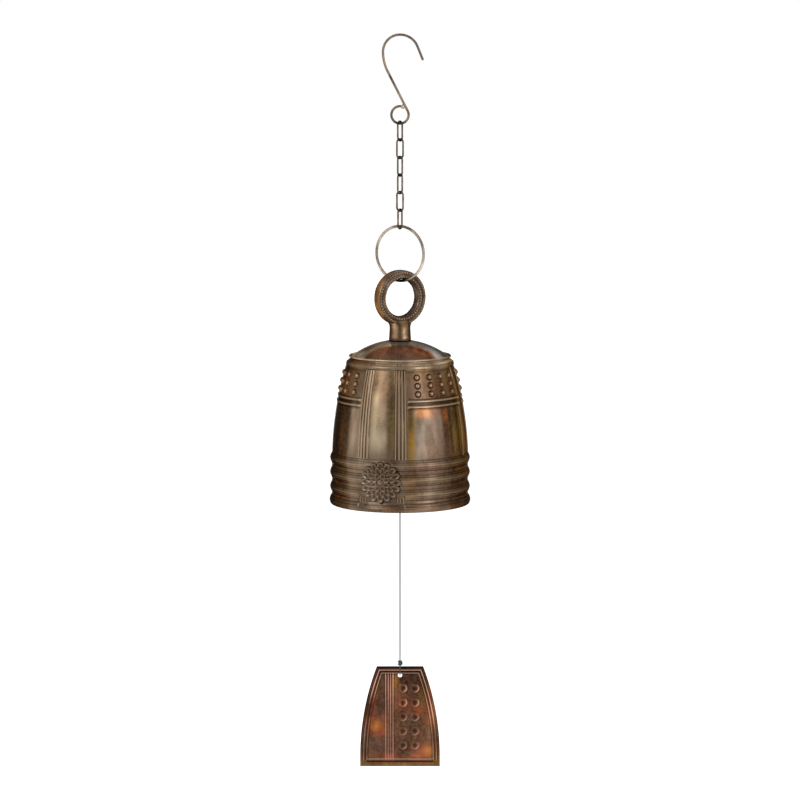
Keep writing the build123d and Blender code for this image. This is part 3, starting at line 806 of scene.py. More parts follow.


# Bell

# The bell's patina, partly painted light: upright bands standing for reflections, a painted highlight by the
# right side rib near 86 degrees, darker bands towards the left silhouette; angle, height, reach round, reach
# up, share and colour of each patch
BELL_PATINA_AND_REFLECTIONS = (
    (-54, 58, 22, 44, 0.95, 74, 56, 40), (-60, 64, 4, 26, 0.6, 112, 92, 62),
    (-44, 52, 4, 14, 0.5, 112, 86, 58), (-75, 60, 5, 40, 0.8, 58, 44, 30),
    (-88, 62, 6, 45, 0.9, 92, 76, 58), (-28, 58, 5.8, 36, 0.95, 200, 180, 158),
    (-16.5, 66, 6, 38, 0.92, 204, 184, 160), (-4, 70, 8.5, 40, 0.9, 130, 115, 98),
    (-3, 93, 9, 10, 0.9, 126, 104, 82), (-7, 62, 2.6, 26, 0.8, 166, 152, 118),
    (-1, 47, 9.0, 13, 0.95, 200, 186, 160), (7.5, 66, 3.2, 42, 0.95, 96, 82, 56),
    (10.5, 52, 1.6, 24, 0.6, 124, 108, 40), (-4, 41, 9, 5, 0.7, 176, 164, 142),
    (17, 60, 5.0, 46, 0.9, 166, 146, 122), (26, 54, 2.8, 17, 0.97, 160, 122, 10),
    (25.5, 70, 2.4, 12, 0.9, 88, 76, 34), (37, 57, 8.0, 27, 0.95, 152, 144, 136),
    (37, 74, 7.5, 4.5, 0.97, 226, 168, 122), (49, 73, 5.0, 5.5, 0.9, 196, 138, 116),
    (50, 53, 6.0, 22, 0.95, 172, 156, 146), (42, 43, 12, 7, 0.8, 184, 168, 152),
    (60, 62, 3.8, 34, 0.97, 84, 52, 28), (60, 72, 3.0, 6, 0.9, 172, 100, 46),
    (66, 56, 2.2, 32, 0.9, 62, 44, 26), (71, 54, 3.0, 24, 0.85, 126, 104, 40),
    (77, 60, 3.0, 40, 0.9, 74, 54, 34),
    (86, 62, 7.5, 42, 0.9, 164, 134, 76), (33, 90, 9, 10, 0.8, 122, 100, 84),
    (52, 90, 12, 10, 0.85, 116, 84, 56), (74, 90, 7, 10, 0.85, 104, 78, 40),
    (-50, 91, 22, 11, 0.95, 132, 104, 76), (-30, 91, 5, 10, 0.8, 122, 100, 80),
    (-56, 22, 26, 24, 0.97, 85, 64, 42), (-48, 29, 12, 3, 0.7, 112, 96, 52),
    (-54, 20, 8, 3, 0.7, 124, 82, 46),
    (-44, 9, 14, 3, 0.6, 118, 84, 50), (-26, 22, 5.5, 24, 0.9, 128, 110, 92), (24, 30, 7, 6, 0.9, 92, 66, 42),
    (25, 24, 6, 3, 0.8, 136, 100, 44), (25, 16, 6, 5, 0.9, 108, 84, 50),
    (44, 22, 13.5, 26, 0.97, 142, 123, 111),
    (42, 33, 12, 3, 0.7, 146, 112, 100), (73, 22, 14, 26, 0.97, 97, 73, 50), (78, 30, 8, 4, 0.6, 112, 84, 40),
    (0, 22, 21, 26, 0.95, 93, 79, 67), (0, 3, 22, 5, 0.9, 76, 65, 55), (9, 3, 6, 3, 0.6, 124, 86, 58),
    (160, 60, 26, 40, 0.8, 144, 120, 94), (182, 60, 12, 46, 0.8, 158, 134, 104),
    (200, 56, 3, 24, 0.8, 140, 112, 40), (226, 62, 10, 30, 0.8, 150, 130, 112),
    (214, 74, 5, 6, 0.8, 190, 130, 92), (-128, 60, 22, 44, 0.8, 96, 76, 54),
    (132, 64, 10, 40, 0.8, 92, 66, 42), (112, 64, 8, 36, 0.8, 140, 118, 94),
    (252, 60, 7, 36, 0.8, 82, 62, 40),
    (150, 20, 30, 26, 0.7, 104, 84, 64), (-150, 22, 26, 26, 0.7, 92, 72, 50),
    (-112, 22, 14, 26, 0.7, 120, 98, 76), (120, 22, 12, 26, 0.8, 84, 62, 40),
)


@dataclass
class Bell:
    """The cast bell. Heights are above its mouth and angles are from its nearer rosette."""

    top_z: float
    face_turn: float = -16.0
    height: float = 123.9
    crown: float = 122.2
    dome_radii: tuple[float, float] = (9.4, 36.6)
    dome_foot: float = 112.4
    lip_height: float = 111.4
    stud_hole: float = 3.3
    belly_radius: float = 51.1
    belly_height: float = 30.0
    side_arc: float = 254.0
    wall: float = 2.6
    panel_top: float = 104.2
    hoops: tuple[float, ...] = (34.7, 23.7, 12.9)
    hoop_relief: float = 1.5
    bead_relief: float = 1.9
    rib_angles: tuple[float, ...] = (12.3, 15.2, 18.0, 20.8)
    side_ribs: tuple[float, ...] = (83.0, 97.0)
    ticks: tuple[float, ...] = (-18.9, -16.4, -13.9, 13.9, 16.4, 18.9)
    fields: tuple[float, ...] = (54.0, 126.0, 234.0, 306.0)
    field_half: float = 30.5
    rails: tuple[float, ...] = (81.9, 77.8)
    boss_columns: int = 4
    boss_column_angle: float = 13.8
    boss_heights: tuple[float, ...] = (98.9, 92.9, 86.9)

    @property
    def mouth_z(self) -> float:
        """Height of the mouth."""
        return self.top_z - self.height

    def side(self, height: Marks) -> np.ndarray:
        """Radius of the plain side: upright to the belly, then R = r - A + sqrt(A^2 - rise^2)."""
        rise = np.maximum(height - self.belly_height, 0)
        return self.belly_radius - self.side_arc + np.sqrt(self.side_arc**2 - rise**2)

    def dome(self, top: float, radii: np.ndarray) -> np.ndarray:
        """Points (radius, height) of a ball's cap: at top by the crown, and at dome_foot by the lip."""
        inner, outer = self.dome_radii
        fall = top - self.dome_foot
        ball = inner**2 + ((outer**2 - inner**2 - fall**2) / (2 * fall)) ** 2
        return np.stack([radii, top - math.sqrt(ball - inner**2) + np.sqrt(ball - radii**2)], -1)

    def yaw(self, angles: np.ndarray) -> np.ndarray:
        """Yaws of angles from the rosette."""
        return angles + self.face_turn - 90

    def tones(self, angles: np.ndarray, heights: np.ndarray) -> np.ndarray:
        """The patina's colours, with painted reflections, highlight and dark bands laid in."""
        return painted(angles, heights, (118, 94, 68), 4, BELL_PATINA_AND_REFLECTIONS)

    def all_ribs(self) -> list[float]:
        """The angle of every rib round the bell."""
        bundles = [base + side * angle for base in FACES for side in (1, -1) for angle in self.rib_angles]
        return bundles + [base + angle for base in FACES for angle in self.side_ribs]

    def angle_lines(self) -> np.ndarray:
        """The angles of the skin's upright lines: even steps, and five lines to a rib."""
        even = np.arange(0, 360, 1.5)
        lines = self.all_ribs() + [base + tick for base in FACES for tick in self.ticks]
        near = np.add.outer(lines, [-1.0, -0.6, 0.0, 0.6, 1.0]).ravel() % 360
        clear = np.min(np.abs(turn_to(even[:, None], near)), axis=1) > 0.3
        return np.sort(np.concatenate([even[clear], near]))

    def height_lines(self) -> np.ndarray:
        """The heights of the skin's level lines, close together at rails, hoops and mouth."""
        close = np.add.outer(self.rails, [-1.4, -1.1, -0.6, 0.0, 0.6, 1.1, 1.4]).ravel()
        panel = np.arange(40.5, self.panel_top - 0.6, 1.9)
        clear = np.min(np.abs(panel[:, None] - np.array(self.rails)), axis=1) > 1.9
        foot = np.arange(0.4, 40.2, 0.42)
        lines = [panel[clear], foot, close, [self.panel_top - 0.5, self.panel_top - 0.1]]
        return np.sort(np.concatenate(lines))[::-1]

    def relief(self, angles: np.ndarray, heights: np.ndarray) -> Relief:
        """Relief of the side, whose ribs, rails, hoops and bead add up.

        Args:
            angles: Degrees from the rosette, along the last axis.
            heights: Heights above the mouth, along the first axis.

        Returns:
            The relief of heights x angles.
        """
        a, h = np.broadcast_arrays(angles, heights[:, None])
        across = math.radians(1) * self.side(h)
        strip, inner_strip = (sum(ridge(turn_to(a, base), half, slope) for base in FACES)
                              for half, slope in ((19.6, 1.2), (14.6, 0.6)))
        relief = Relief(a.shape)
        panel = smooth_step(self.hoops[0] + 4.0, self.hoops[0] + 4.6, h)
        # Ribs and rails: painted highlight and rubbing on their backs, darkening along their feet
        for rib in self.all_ribs():
            relief.line(turn_to(a, rib) * across, panel, (0.8, 0.45, 0.4), (0.6, 0.25, 0.35),
                        (0.5, 1.05, 0.1, 0.35))
        for field in self.fields:
            inside = ridge(turn_to(a, field), self.field_half, 0.6)
            for rail in self.rails:
                relief.line(h - rail, inside, (0.75, 0.55, 0.45), (0.7, 0.4, 0.5), (0.7, 1.3, 0.15, 0.45))
            relief.darken(0.4 * ridge(h - (self.panel_top - 1.0), 0.2, 0.7) * inside)
        for hoop in self.hoops:
            below = np.where(h < hoop, 1 - strip, 1.0) if hoop == self.hoops[-1] else 1.0
            swell = 0.5 + 0.5 * np.cos(np.clip((h - hoop) / 4.9, -1, 1) * math.pi)
            relief.rise += self.hoop_relief * swell**0.8 * below
            for line, darkness in ((4.2, 0.5), (2.6, 0.55), (1.0, 0.2), (-0.9, 0.25), (-2.4, 0.6), (-3.9, 0.75)):
                relief.groove(h - hoop - line, below, darkness)
            # Painted highlight and rubbing along each hoop's crest and its shoulders
            relief.brighten(0.25 * ridge(h - hoop - 0.1, 0.3, 0.5) * below)
            relief.brighten(0.12 * ridge(np.abs(h - hoop) - 1.7, 0.2, 0.4) * below)
        bead = np.where(h > 2.8, smooth_step(8.2, 3.4, h), 1 - 0.35 * smooth_step(2.4, 0.0, h))
        relief.rise += self.bead_relief * bead * (1 - 0.25 * strip * smooth_step(2.5, 3.6, h))
        for line, darkness in ((6.5, 0.65), (4.4, 0.6), (2.9, 0.25)):
            relief.groove(h - line, 1 - strip, darkness)
        relief.darken(0.75 * strip * ridge(h - 5.2, 0.2, 0.45) * inner_strip)
        short = ridge(h - 8.9, 1.5, 0.4)
        for base in FACES:
            for tick in self.ticks:
                relief.line(turn_to(a, base + tick) * across, short, (0.5, 0.4, 0.4), (0.3, 0.25, 0.4),
                            (0.5, 1.0, 0.1, 0.4))
        return relief

    def head(self) -> np.ndarray:
        """The profile above the panels: crown seat, dome, lip, collar and shoulder, from the middle out."""
        dome = self.dome(self.crown, np.linspace(*self.dome_radii, 40))
        rest = np.array([
            [37.6, self.lip_height + 0.5], [38.3, self.lip_height], [38.3, 110.5], [37.3, 110.3],
            [37.2, 109.3], [38.6, 108.2], [40.2, 106.9], [40.5, 104.9],
            [self.side(self.panel_top) + 0.1, self.panel_top + 0.2]])
        rim = eased(np.concatenate([dome[-1:], rest]), 0.35)
        return np.concatenate([[[self.stud_hole, self.crown]], dome[:-1], rim])

    def head_marks(self, profile: np.ndarray, angles: np.ndarray) -> tuple[np.ndarray, ...]:
        """Creases, brightening and tones of the head: painted shade, painted highlight and painted
        reflections.

        Args:
            profile: The head's profile.
            angles: Degrees from the rosette.

        Returns:
            Three arrays of profile points x angles.
        """
        r, h, even = profile[:, :1], profile[:, 1:], np.ones(len(angles))
        # Painted shade under the lip's overhang, and dark lines round the crown seat and at the shoulder
        crease = np.maximum.reduce([0.6 * ridge(h - 110.0, 0.5, 0.4) * (r < 37.9),
                                    0.3 * ridge(h - 104.5, 0.3, 0.4), 0.8 * ridge(r - 8.6, 0.6, 0.8)])
        over_lip = h - self.lip_height
        # Painted highlight along the lip's edge and along the shoulder
        wear_and_highlight = np.maximum(0.4 * ridge(over_lip, 0.6, 0.5) * (r > 36.9), 0.2 * ridge(h - 106.2, 0.4, 0.6))
        # Tones laid across the view from -Y as painted reflections: a dark lens over the dome's front, paler
        # grey to the right, a bright painted highlight at the far left, and the collar band darker and redder
        # on the left
        across, rise = r * np.sin(np.radians(turn_to(angles, -self.face_turn))), over_lip / 9.0
        half = 26.5 - 4.5 * np.clip(rise, 0, 1)
        lens = smooth_step(1.06, 0.96, np.hypot(across / half, rise)) * (r < 36.2)
        tone = lay_over(tint(186, 176, 160), smooth_step(-20, 20, across), 144, 146, 146)
        tone = lay_over(tone, smooth_step(-25, -31, across), 236, 228, 214)
        deep = lay_over(tint(148, 106, 86), smooth_step(0.75, 0.1, rise), 118, 88, 70)
        band = lay_over(tint(204, 182, 154), smooth_step(-12, -26, across), 152, 116, 78)
        for share, over in ((lens, deep), (ridge(h - 109.0, 1.3, 0.5), band)):
            tone = tone * (1 - share[..., None]) + over * share[..., None]
        tone = lay_over(tone, ridge(h - 105.4, 2.0, 0.6), 136, 118, 98)
        return crease * even, wear_and_highlight * even, tone

    def build(self) -> None:
        """Makes the skin in one closed sheet, then the inner wall, the bosses and the rosettes."""
        angles, heights = self.angle_lines(), self.height_lines()
        turn = np.radians(self.yaw(angles))
        relief, head = self.relief(angles, heights), self.head()
        radius = self.side(heights)[:, None] + relief.rise
        inner = self.belly_radius - self.wall
        edge = np.array([[self.belly_radius + 0.9, 0.0], [inner + 0.4, 0.0], [inner, 0.5]])
        crease, wear_and_highlight, tone = self.head_marks(head, angles)
        lip = np.ones((len(edge), len(angles)))
        skin = Skin("bell_skin")
        points = [turned(head, turn), polar(radius, turn, heights[:, None]), turned(edge, turn)]
        skin.grid(np.concatenate(points) + self.mouth_z * UP,
                  Round.COLUMNS, np.concatenate([crease, relief.crease, 0.4 * lip]),
                  np.concatenate([wear_and_highlight, relief.wear_and_highlight, 0 * lip]), inward=True,
                  tone=np.concatenate([tone, self.tones(angles, heights[:, None]),
                                       lip[..., None] * tint(96, 76, 54)]))
        seat(skin.build(50), "bell", Finish.BELL, "cast_bronze", "bell")
        self.build_inside()
        self.build_bosses()
        for number, base in enumerate(FACES, start=1):
            Rosette(self, base, f"rosette_{number}").build()

    def build_inside(self) -> None:
        """The inner wall, from the mouth's inner edge up under the dome to the stud's hole."""
        heights = np.linspace(0.5, self.panel_top, 30)
        side = np.stack([self.side(heights) - self.wall, heights], -1)
        inner, outer = self.dome_radii
        dome = self.dome(self.height, np.linspace(outer - 1.5, inner, 14)) - [0, self.wall]
        hole = [[self.stud_hole, self.height - self.wall], [self.stud_hole, self.crown]]
        profile = np.concatenate([side, dome, hole]) + [0, self.mouth_z]
        skin = Skin("bell_inside")
        skin.grid(turned(profile, full_turn(144)), Round.COLUMNS, inward=True)
        seat(skin.build(50), "bell", Finish.INSIDE, "cast_bronze")

    def build_bosses(self) -> None:
        """The bosses: a foot roll, a groove and a dome turned about each boss's own axis."""
        # Radius, lift, crease and brightening (painted highlight and rubbing) down the profile, from its foot
        # to its dome
        r, z, crease, wear_and_highlight = np.array([
            [2.75, -0.35, 0.9, 0.0], [2.65, 0.15, 0.6, 0.0], [2.35, 0.42, 0.15, 0.15], [2.05, 0.25, 0.8, 0.0],
            [1.95, 0.35, 0.7, 0.0], [1.75, 0.95, 0.2, 0.05], [1.3, 1.45, 0.0, 0.25], [0.7, 1.72, 0.0, 0.5],
        ]).T[..., None]
        # Foot rows darker and redder: the ground's red-brown and the foot ring's painted shadow; dome rows
        # painted lighter, with painted highlight on the tip
        shade = np.array([[1.0, 0.62, 0.5]] * 4 + [[1.15, 1.0, 0.85]] * 4)[:, None]
        columns = (np.arange(self.boss_columns) - (self.boss_columns - 1) / 2) * self.boss_column_angle
        angle, height = np.array([(field + column, height) for field in self.fields for column in columns
                                  for height in self.boss_heights]).T
        lean = np.arcsin((height - self.belly_height) / self.side_arc)[:, None]
        flat_out, east = level(self.yaw(angle)), level(self.yaw(angle) + 90)
        out = flat_out * np.cos(lean) + np.sin(lean) * UP
        base = flat_out * self.side(height)[:, None] + (height + self.mouth_z)[:, None] * UP
        base, out, east, north = (part[:, None, None] for part in (base, out, east, np.cross(out, east)))
        turns = full_turn(18)[:, None]
        points = base + r[..., None] * (np.cos(turns) * east + np.sin(turns) * north) + z[..., None] * out
        tone = self.tones(angle, height)
        skin = Skin("bell_bosses")
        skin.grid(points, Round.COLUMNS, crease, wear_and_highlight, tone[:, None, None] * shade, last_pole=base + 1.8 * out,
                  tip=(0.6, tone))
        seat(skin.build(60), "bell", Finish.BELL, "cast_bronze")


@dataclass
class Rosette:
    """A chrysanthemum of three rings of cupped petals round a button, wrapped on the bell."""

    bell: Bell
    angle: float
    name: str
    height: float = 22.7
    radius: float = 14.0
    spread: float = 1.09
    ground: float = 1.9
    button: float = 2.5

    def wrap(self, across: Marks, up: Marks, lift: Marks) -> np.ndarray:
        """Carries flat points onto the bell: across becomes an angle, and lift stands off its side."""
        radius = self.bell.belly_radius
        turn = self.spread * across / radius + math.radians(self.bell.yaw(self.angle))
        return polar(radius + lift, turn, self.bell.mouth_z + self.height + self.spread * up)

    def petals(self, number: int, foot: float, tip: float, width: float, base: float, rise: float,
               offset: float) -> tuple[np.ndarray, np.ndarray]:
        """A ring of petals: blunt tongues with a raised rim and a hollow middle.

        The half width goes as sin(0.93 pi u^0.85)^0.55. The lift rises to the rim at about 0.75 of the way
        from the petal's spine to its edge, and falls to the ground at the edge.

        Args:
            number: Petals in the ring.
            foot: Distance of their feet from the middle.
            tip: Distance of their tips from the middle.
            width: Widest width.
            base: Lift of the ground under them.
            rise: Lift of the rim over that.
            offset: Turn of the first petal, as a share of the pitch.

        Returns:
            Points (petals, rows, columns, 3) and creases (rows, columns).
        """
        u, v = np.linspace(0.02, 0.985, 12)[:, None], np.linspace(-1, 1, 11)
        wide = width / 2 * np.sin(math.pi * u**0.85 * 0.93) ** 0.55
        tipward = np.clip((u - 0.55) / 0.45, 0, 1)
        edge = np.sqrt(v**2 + tipward**2 - (v * tipward) ** 2)
        rim = smooth_step(0.35, 0.72, edge) * 0.6 + 0.4
        lift = base + rise * (0.55 + 0.45 * u) * rim * smooth_step(1.0, 0.82, edge)
        lift = lift - 0.35 * smooth_step(0.8, 1, edge)
        along, across = foot + (tip - foot) * u, wide * v
        turn = (2 * math.pi * (np.arange(number) + offset) / number)[:, None, None]
        x = along * np.cos(turn) - across * np.sin(turn)
        z = along * np.sin(turn) + across * np.cos(turn)
        hollow = smooth_step(0.5, 0.25, edge) * smooth_step(0.15, 0.4, u)
        crease = 0.5 * hollow + 0.85 * smooth_step(0.84, 0.97, edge)
        return self.wrap(x, z, lift), np.clip(crease, 0, 0.95)

    def build(self) -> None:
        """Makes the scalloped ground, the petals and the button."""
        skin = Skin(self.name)
        tone = tint(99, 85, 73)
        turns = full_turn(96)
        shares, drops = np.array([[0.03, 0.5, 0.9, 0.97, 1.0], [0, 0, 0, -0.6, -2.2]])[..., None]
        reach = (self.radius - 0.9 + 0.55 * np.abs(np.cos(8 * turns))) * shares
        skin.grid(self.wrap(reach * np.cos(turns), reach * np.sin(turns), drops + self.ground), Round.COLUMNS,
                  0.7, tone=tone, inward=True, first_pole=self.wrap(0.0, 0.0, self.ground))
        # Petals, foot, tip, width, ground, rise and offset of each ring, from the outer one in
        for ring in ((16, 8.0, 14.2, 4.9, 1.7, 1.15, 0.0), (16, 5.2, 10.9, 3.7, 2.2, 1.15, 0.5),
                     (8, 2.0, 7.2, 4.3, 2.6, 1.2, 0.5)):
            points, crease = self.petals(*ring)
            # Painted highlight on the petals' raised parts; hollows and edges painted dark
            skin.grid(points, Round.NEITHER, crease, 0.18 * smooth_step(0.5, 0.0, crease), tone, inward=True)
        rise, spin = np.radians([0.0, 25.0, 50.0, 72.0])[:, None], full_turn(20)
        flat = self.button * np.cos(rise)
        # Button: dark at its foot, painted highlight on its top
        crease, wear_and_highlight = np.array([[0.9, 0.2, 0.0, 0.0], [0.0, 0.0, 0.15, 0.3]])[..., None]
        skin.grid(self.wrap(flat * np.cos(spin), flat * np.sin(spin), self.button + 1.5 * np.sin(rise)),
                  Round.COLUMNS, crease, wear_and_highlight, tone, last_pole=self.wrap(0.0, 0.0, self.button + 1.55))
        seat(skin.build(70), "bell", Finish.BELL, "cast_bronze")


# Cord, clapper and sail


@dataclass
class Knot:
    """A pulled overhand knot: one cord wound on itself in a trefoil."""

    name: str
    body: str
    node: str
    top_z: float
    height: float = 4.4
    snugness: float = 1.18

    @property
    def foot_z(self) -> float:
        """Height of the knot's foot."""
        return self.top_z - self.height

    def build(self) -> bpy.types.Object:
        """The knot: ((a + b cos 3t) cos 2t, (a + b cos 3t) sin 2t, c sin 3t), with cord carried along it."""
        t, middle = full_turn(132), self.top_z - self.height / 2
        line = polar(1.02 + 0.5 * np.cos(3 * t), 2 * t, 1.42 * np.sin(3 * t) + middle)
        core = np.array([[0.45, -2.15], [1.0, -1.2], [1.25, 0.0], [1.0, 1.2], [0.45, 2.15]]) + [0, middle]
        skin = Skin(self.name)
        skin.grid(wire_rings(line, CORD_RADIUS * self.snugness, 10), Round.BOTH)
        skin.grid(turned(core, full_turn(14)), Round.COLUMNS, first_pole=(middle - self.height / 2) * UP,
                  last_pole=(middle + self.height / 2) * UP)
        return seat(skin.build(80), self.body, Finish.CORD, "cord", self.node)


@dataclass
class CordRun:
    """A taut run of cord down the centre line."""

    name: str
    body: str
    node: str
    top_z: float
    bottom_z: float
    points: int = 5

    def build(self, with_pieces: list[bpy.types.Object]) -> None:
        curve = bpy.data.curves.new(self.name, "CURVE")
        curve.dimensions = "3D"
        curve.bevel_depth = CORD_RADIUS * MM
        curve.bevel_resolution = 4
        curve.use_fill_caps = True
        spline = curve.splines.new("NURBS")
        spline.points.add(self.points - 1)
        places = np.tile([0.0, 0.0, 0.0, 1.0], (self.points, 1))
        places[:, 2] = np.linspace(self.top_z, self.bottom_z, self.points) * MM
        spline.points.foreach_set("co", places.astype(np.float32).ravel())
        spline.order_u = 3
        spline.use_endpoint_u = True
        piece = seat(link(self.name, curve), self.body, Finish.CORD, "cord", self.node)


def cord_loop(name: str, body: str, node: str, yaw: float, bend_z: float, knot_z: float) -> bpy.types.Object:
    """A loop of cord: half a turn about bend_z, with two legs drawn in to the knot.

    Args:
        name: The piece's name.
        body: The body it rides on.
        node: The CAD node that it stands for.
        yaw: Yaw of the loop's plane.
        bend_z: Height of the bend's middle.
        knot_z: Height of the knot's face.

    Returns:
        The piece.
    """
    bend = arc((0, bend_z), LOOP_RADIUS, 0, 180 if bend_z > knot_z else -180, 9)
    leg = np.linspace(0, 1, 7)[:-1, None]
    right = np.array([CORD_RADIUS, knot_z]) * (1 - leg) + np.array([LOOP_RADIUS, bend_z]) * leg
    skin = Skin(name)
    line = upright(np.concatenate([right, bend, (right * [-1, 1])[::-1]]), yaw)
    add_wire(skin, line, CORD_RADIUS, 10, level(yaw - 90))
    return seat(skin.build(80), body, Finish.CORD, "cord", node)


# The sail's heat tones: across, below the top, reach across, reach down, share and colour of each patch
SAIL_PATINA = (
    (0, 3, 40, 5.5, 0.9, 58, 36, 26), (4, 10, 9, 7, 0.7, 66, 42, 30), (-14, 14, 4, 12, 0.8, 72, 52, 26),
    (-15, 32, 6, 13, 0.85, 64, 40, 30), (-18.5, 47, 4.0, 5, 0.97, 208, 132, 44),
    (-22, 41, 3, 4, 0.8, 170, 96, 54),
    (-15, 50, 5, 3, 0.7, 168, 82, 44), (-12, 42, 4, 6, 0.6, 124, 66, 44), (-15, 52.5, 5, 2, 0.8, 140, 64, 48),
    (-16, 62, 7, 8, 0.9, 98, 76, 66), (-19, 69, 6, 4, 0.6, 126, 78, 68), (-4, 11, 2.4, 6, 0.9, 150, 96, 24),
    (-8, 16, 3, 10, 0.6, 150, 92, 72), (3, 14, 3, 6, 0.8, 74, 42, 24), (12, 10, 9, 6, 0.8, 66, 38, 26),
    (3, 27, 7, 6, 0.7, 118, 60, 34), (16, 26, 3.5, 9, 0.85, 104, 80, 22), (13.5, 34, 4, 4, 0.8, 186, 100, 40),
    (7, 44, 9, 7, 0.8, 92, 70, 50), (9, 58, 9, 7, 0.8, 104, 78, 60), (19.5, 66, 6.5, 6, 0.8, 156, 88, 50),
    (22.5, 65, 3, 4, 0.7, 206, 136, 70), (24, 52, 4, 8, 0.8, 100, 80, 66),
    (24, 36, 3.5, 11, 0.85, 178, 112, 70),
    (12, 70, 8, 3, 0.7, 150, 88, 58), (-8, 70, 6, 3, 0.8, 156, 82, 60), (-27, 44, 3, 9, 0.7, 126, 82, 66),
    (-27, 58, 3, 7, 0.8, 104, 90, 78), (-27, 73, 9, 8, 0.8, 134, 98, 56), (0, 76, 60, 2.2, 0.9, 122, 92, 58),
    (27, 72, 4, 5, 0.8, 150, 120, 56), (-19.5, 20, 2.2, 12, 0.5, 140, 76, 42),
    (21.5, 24, 2.4, 12, 0.7, 144, 80, 46), (-21, 32, 2.5, 5, 0.6, 138, 74, 50),
)


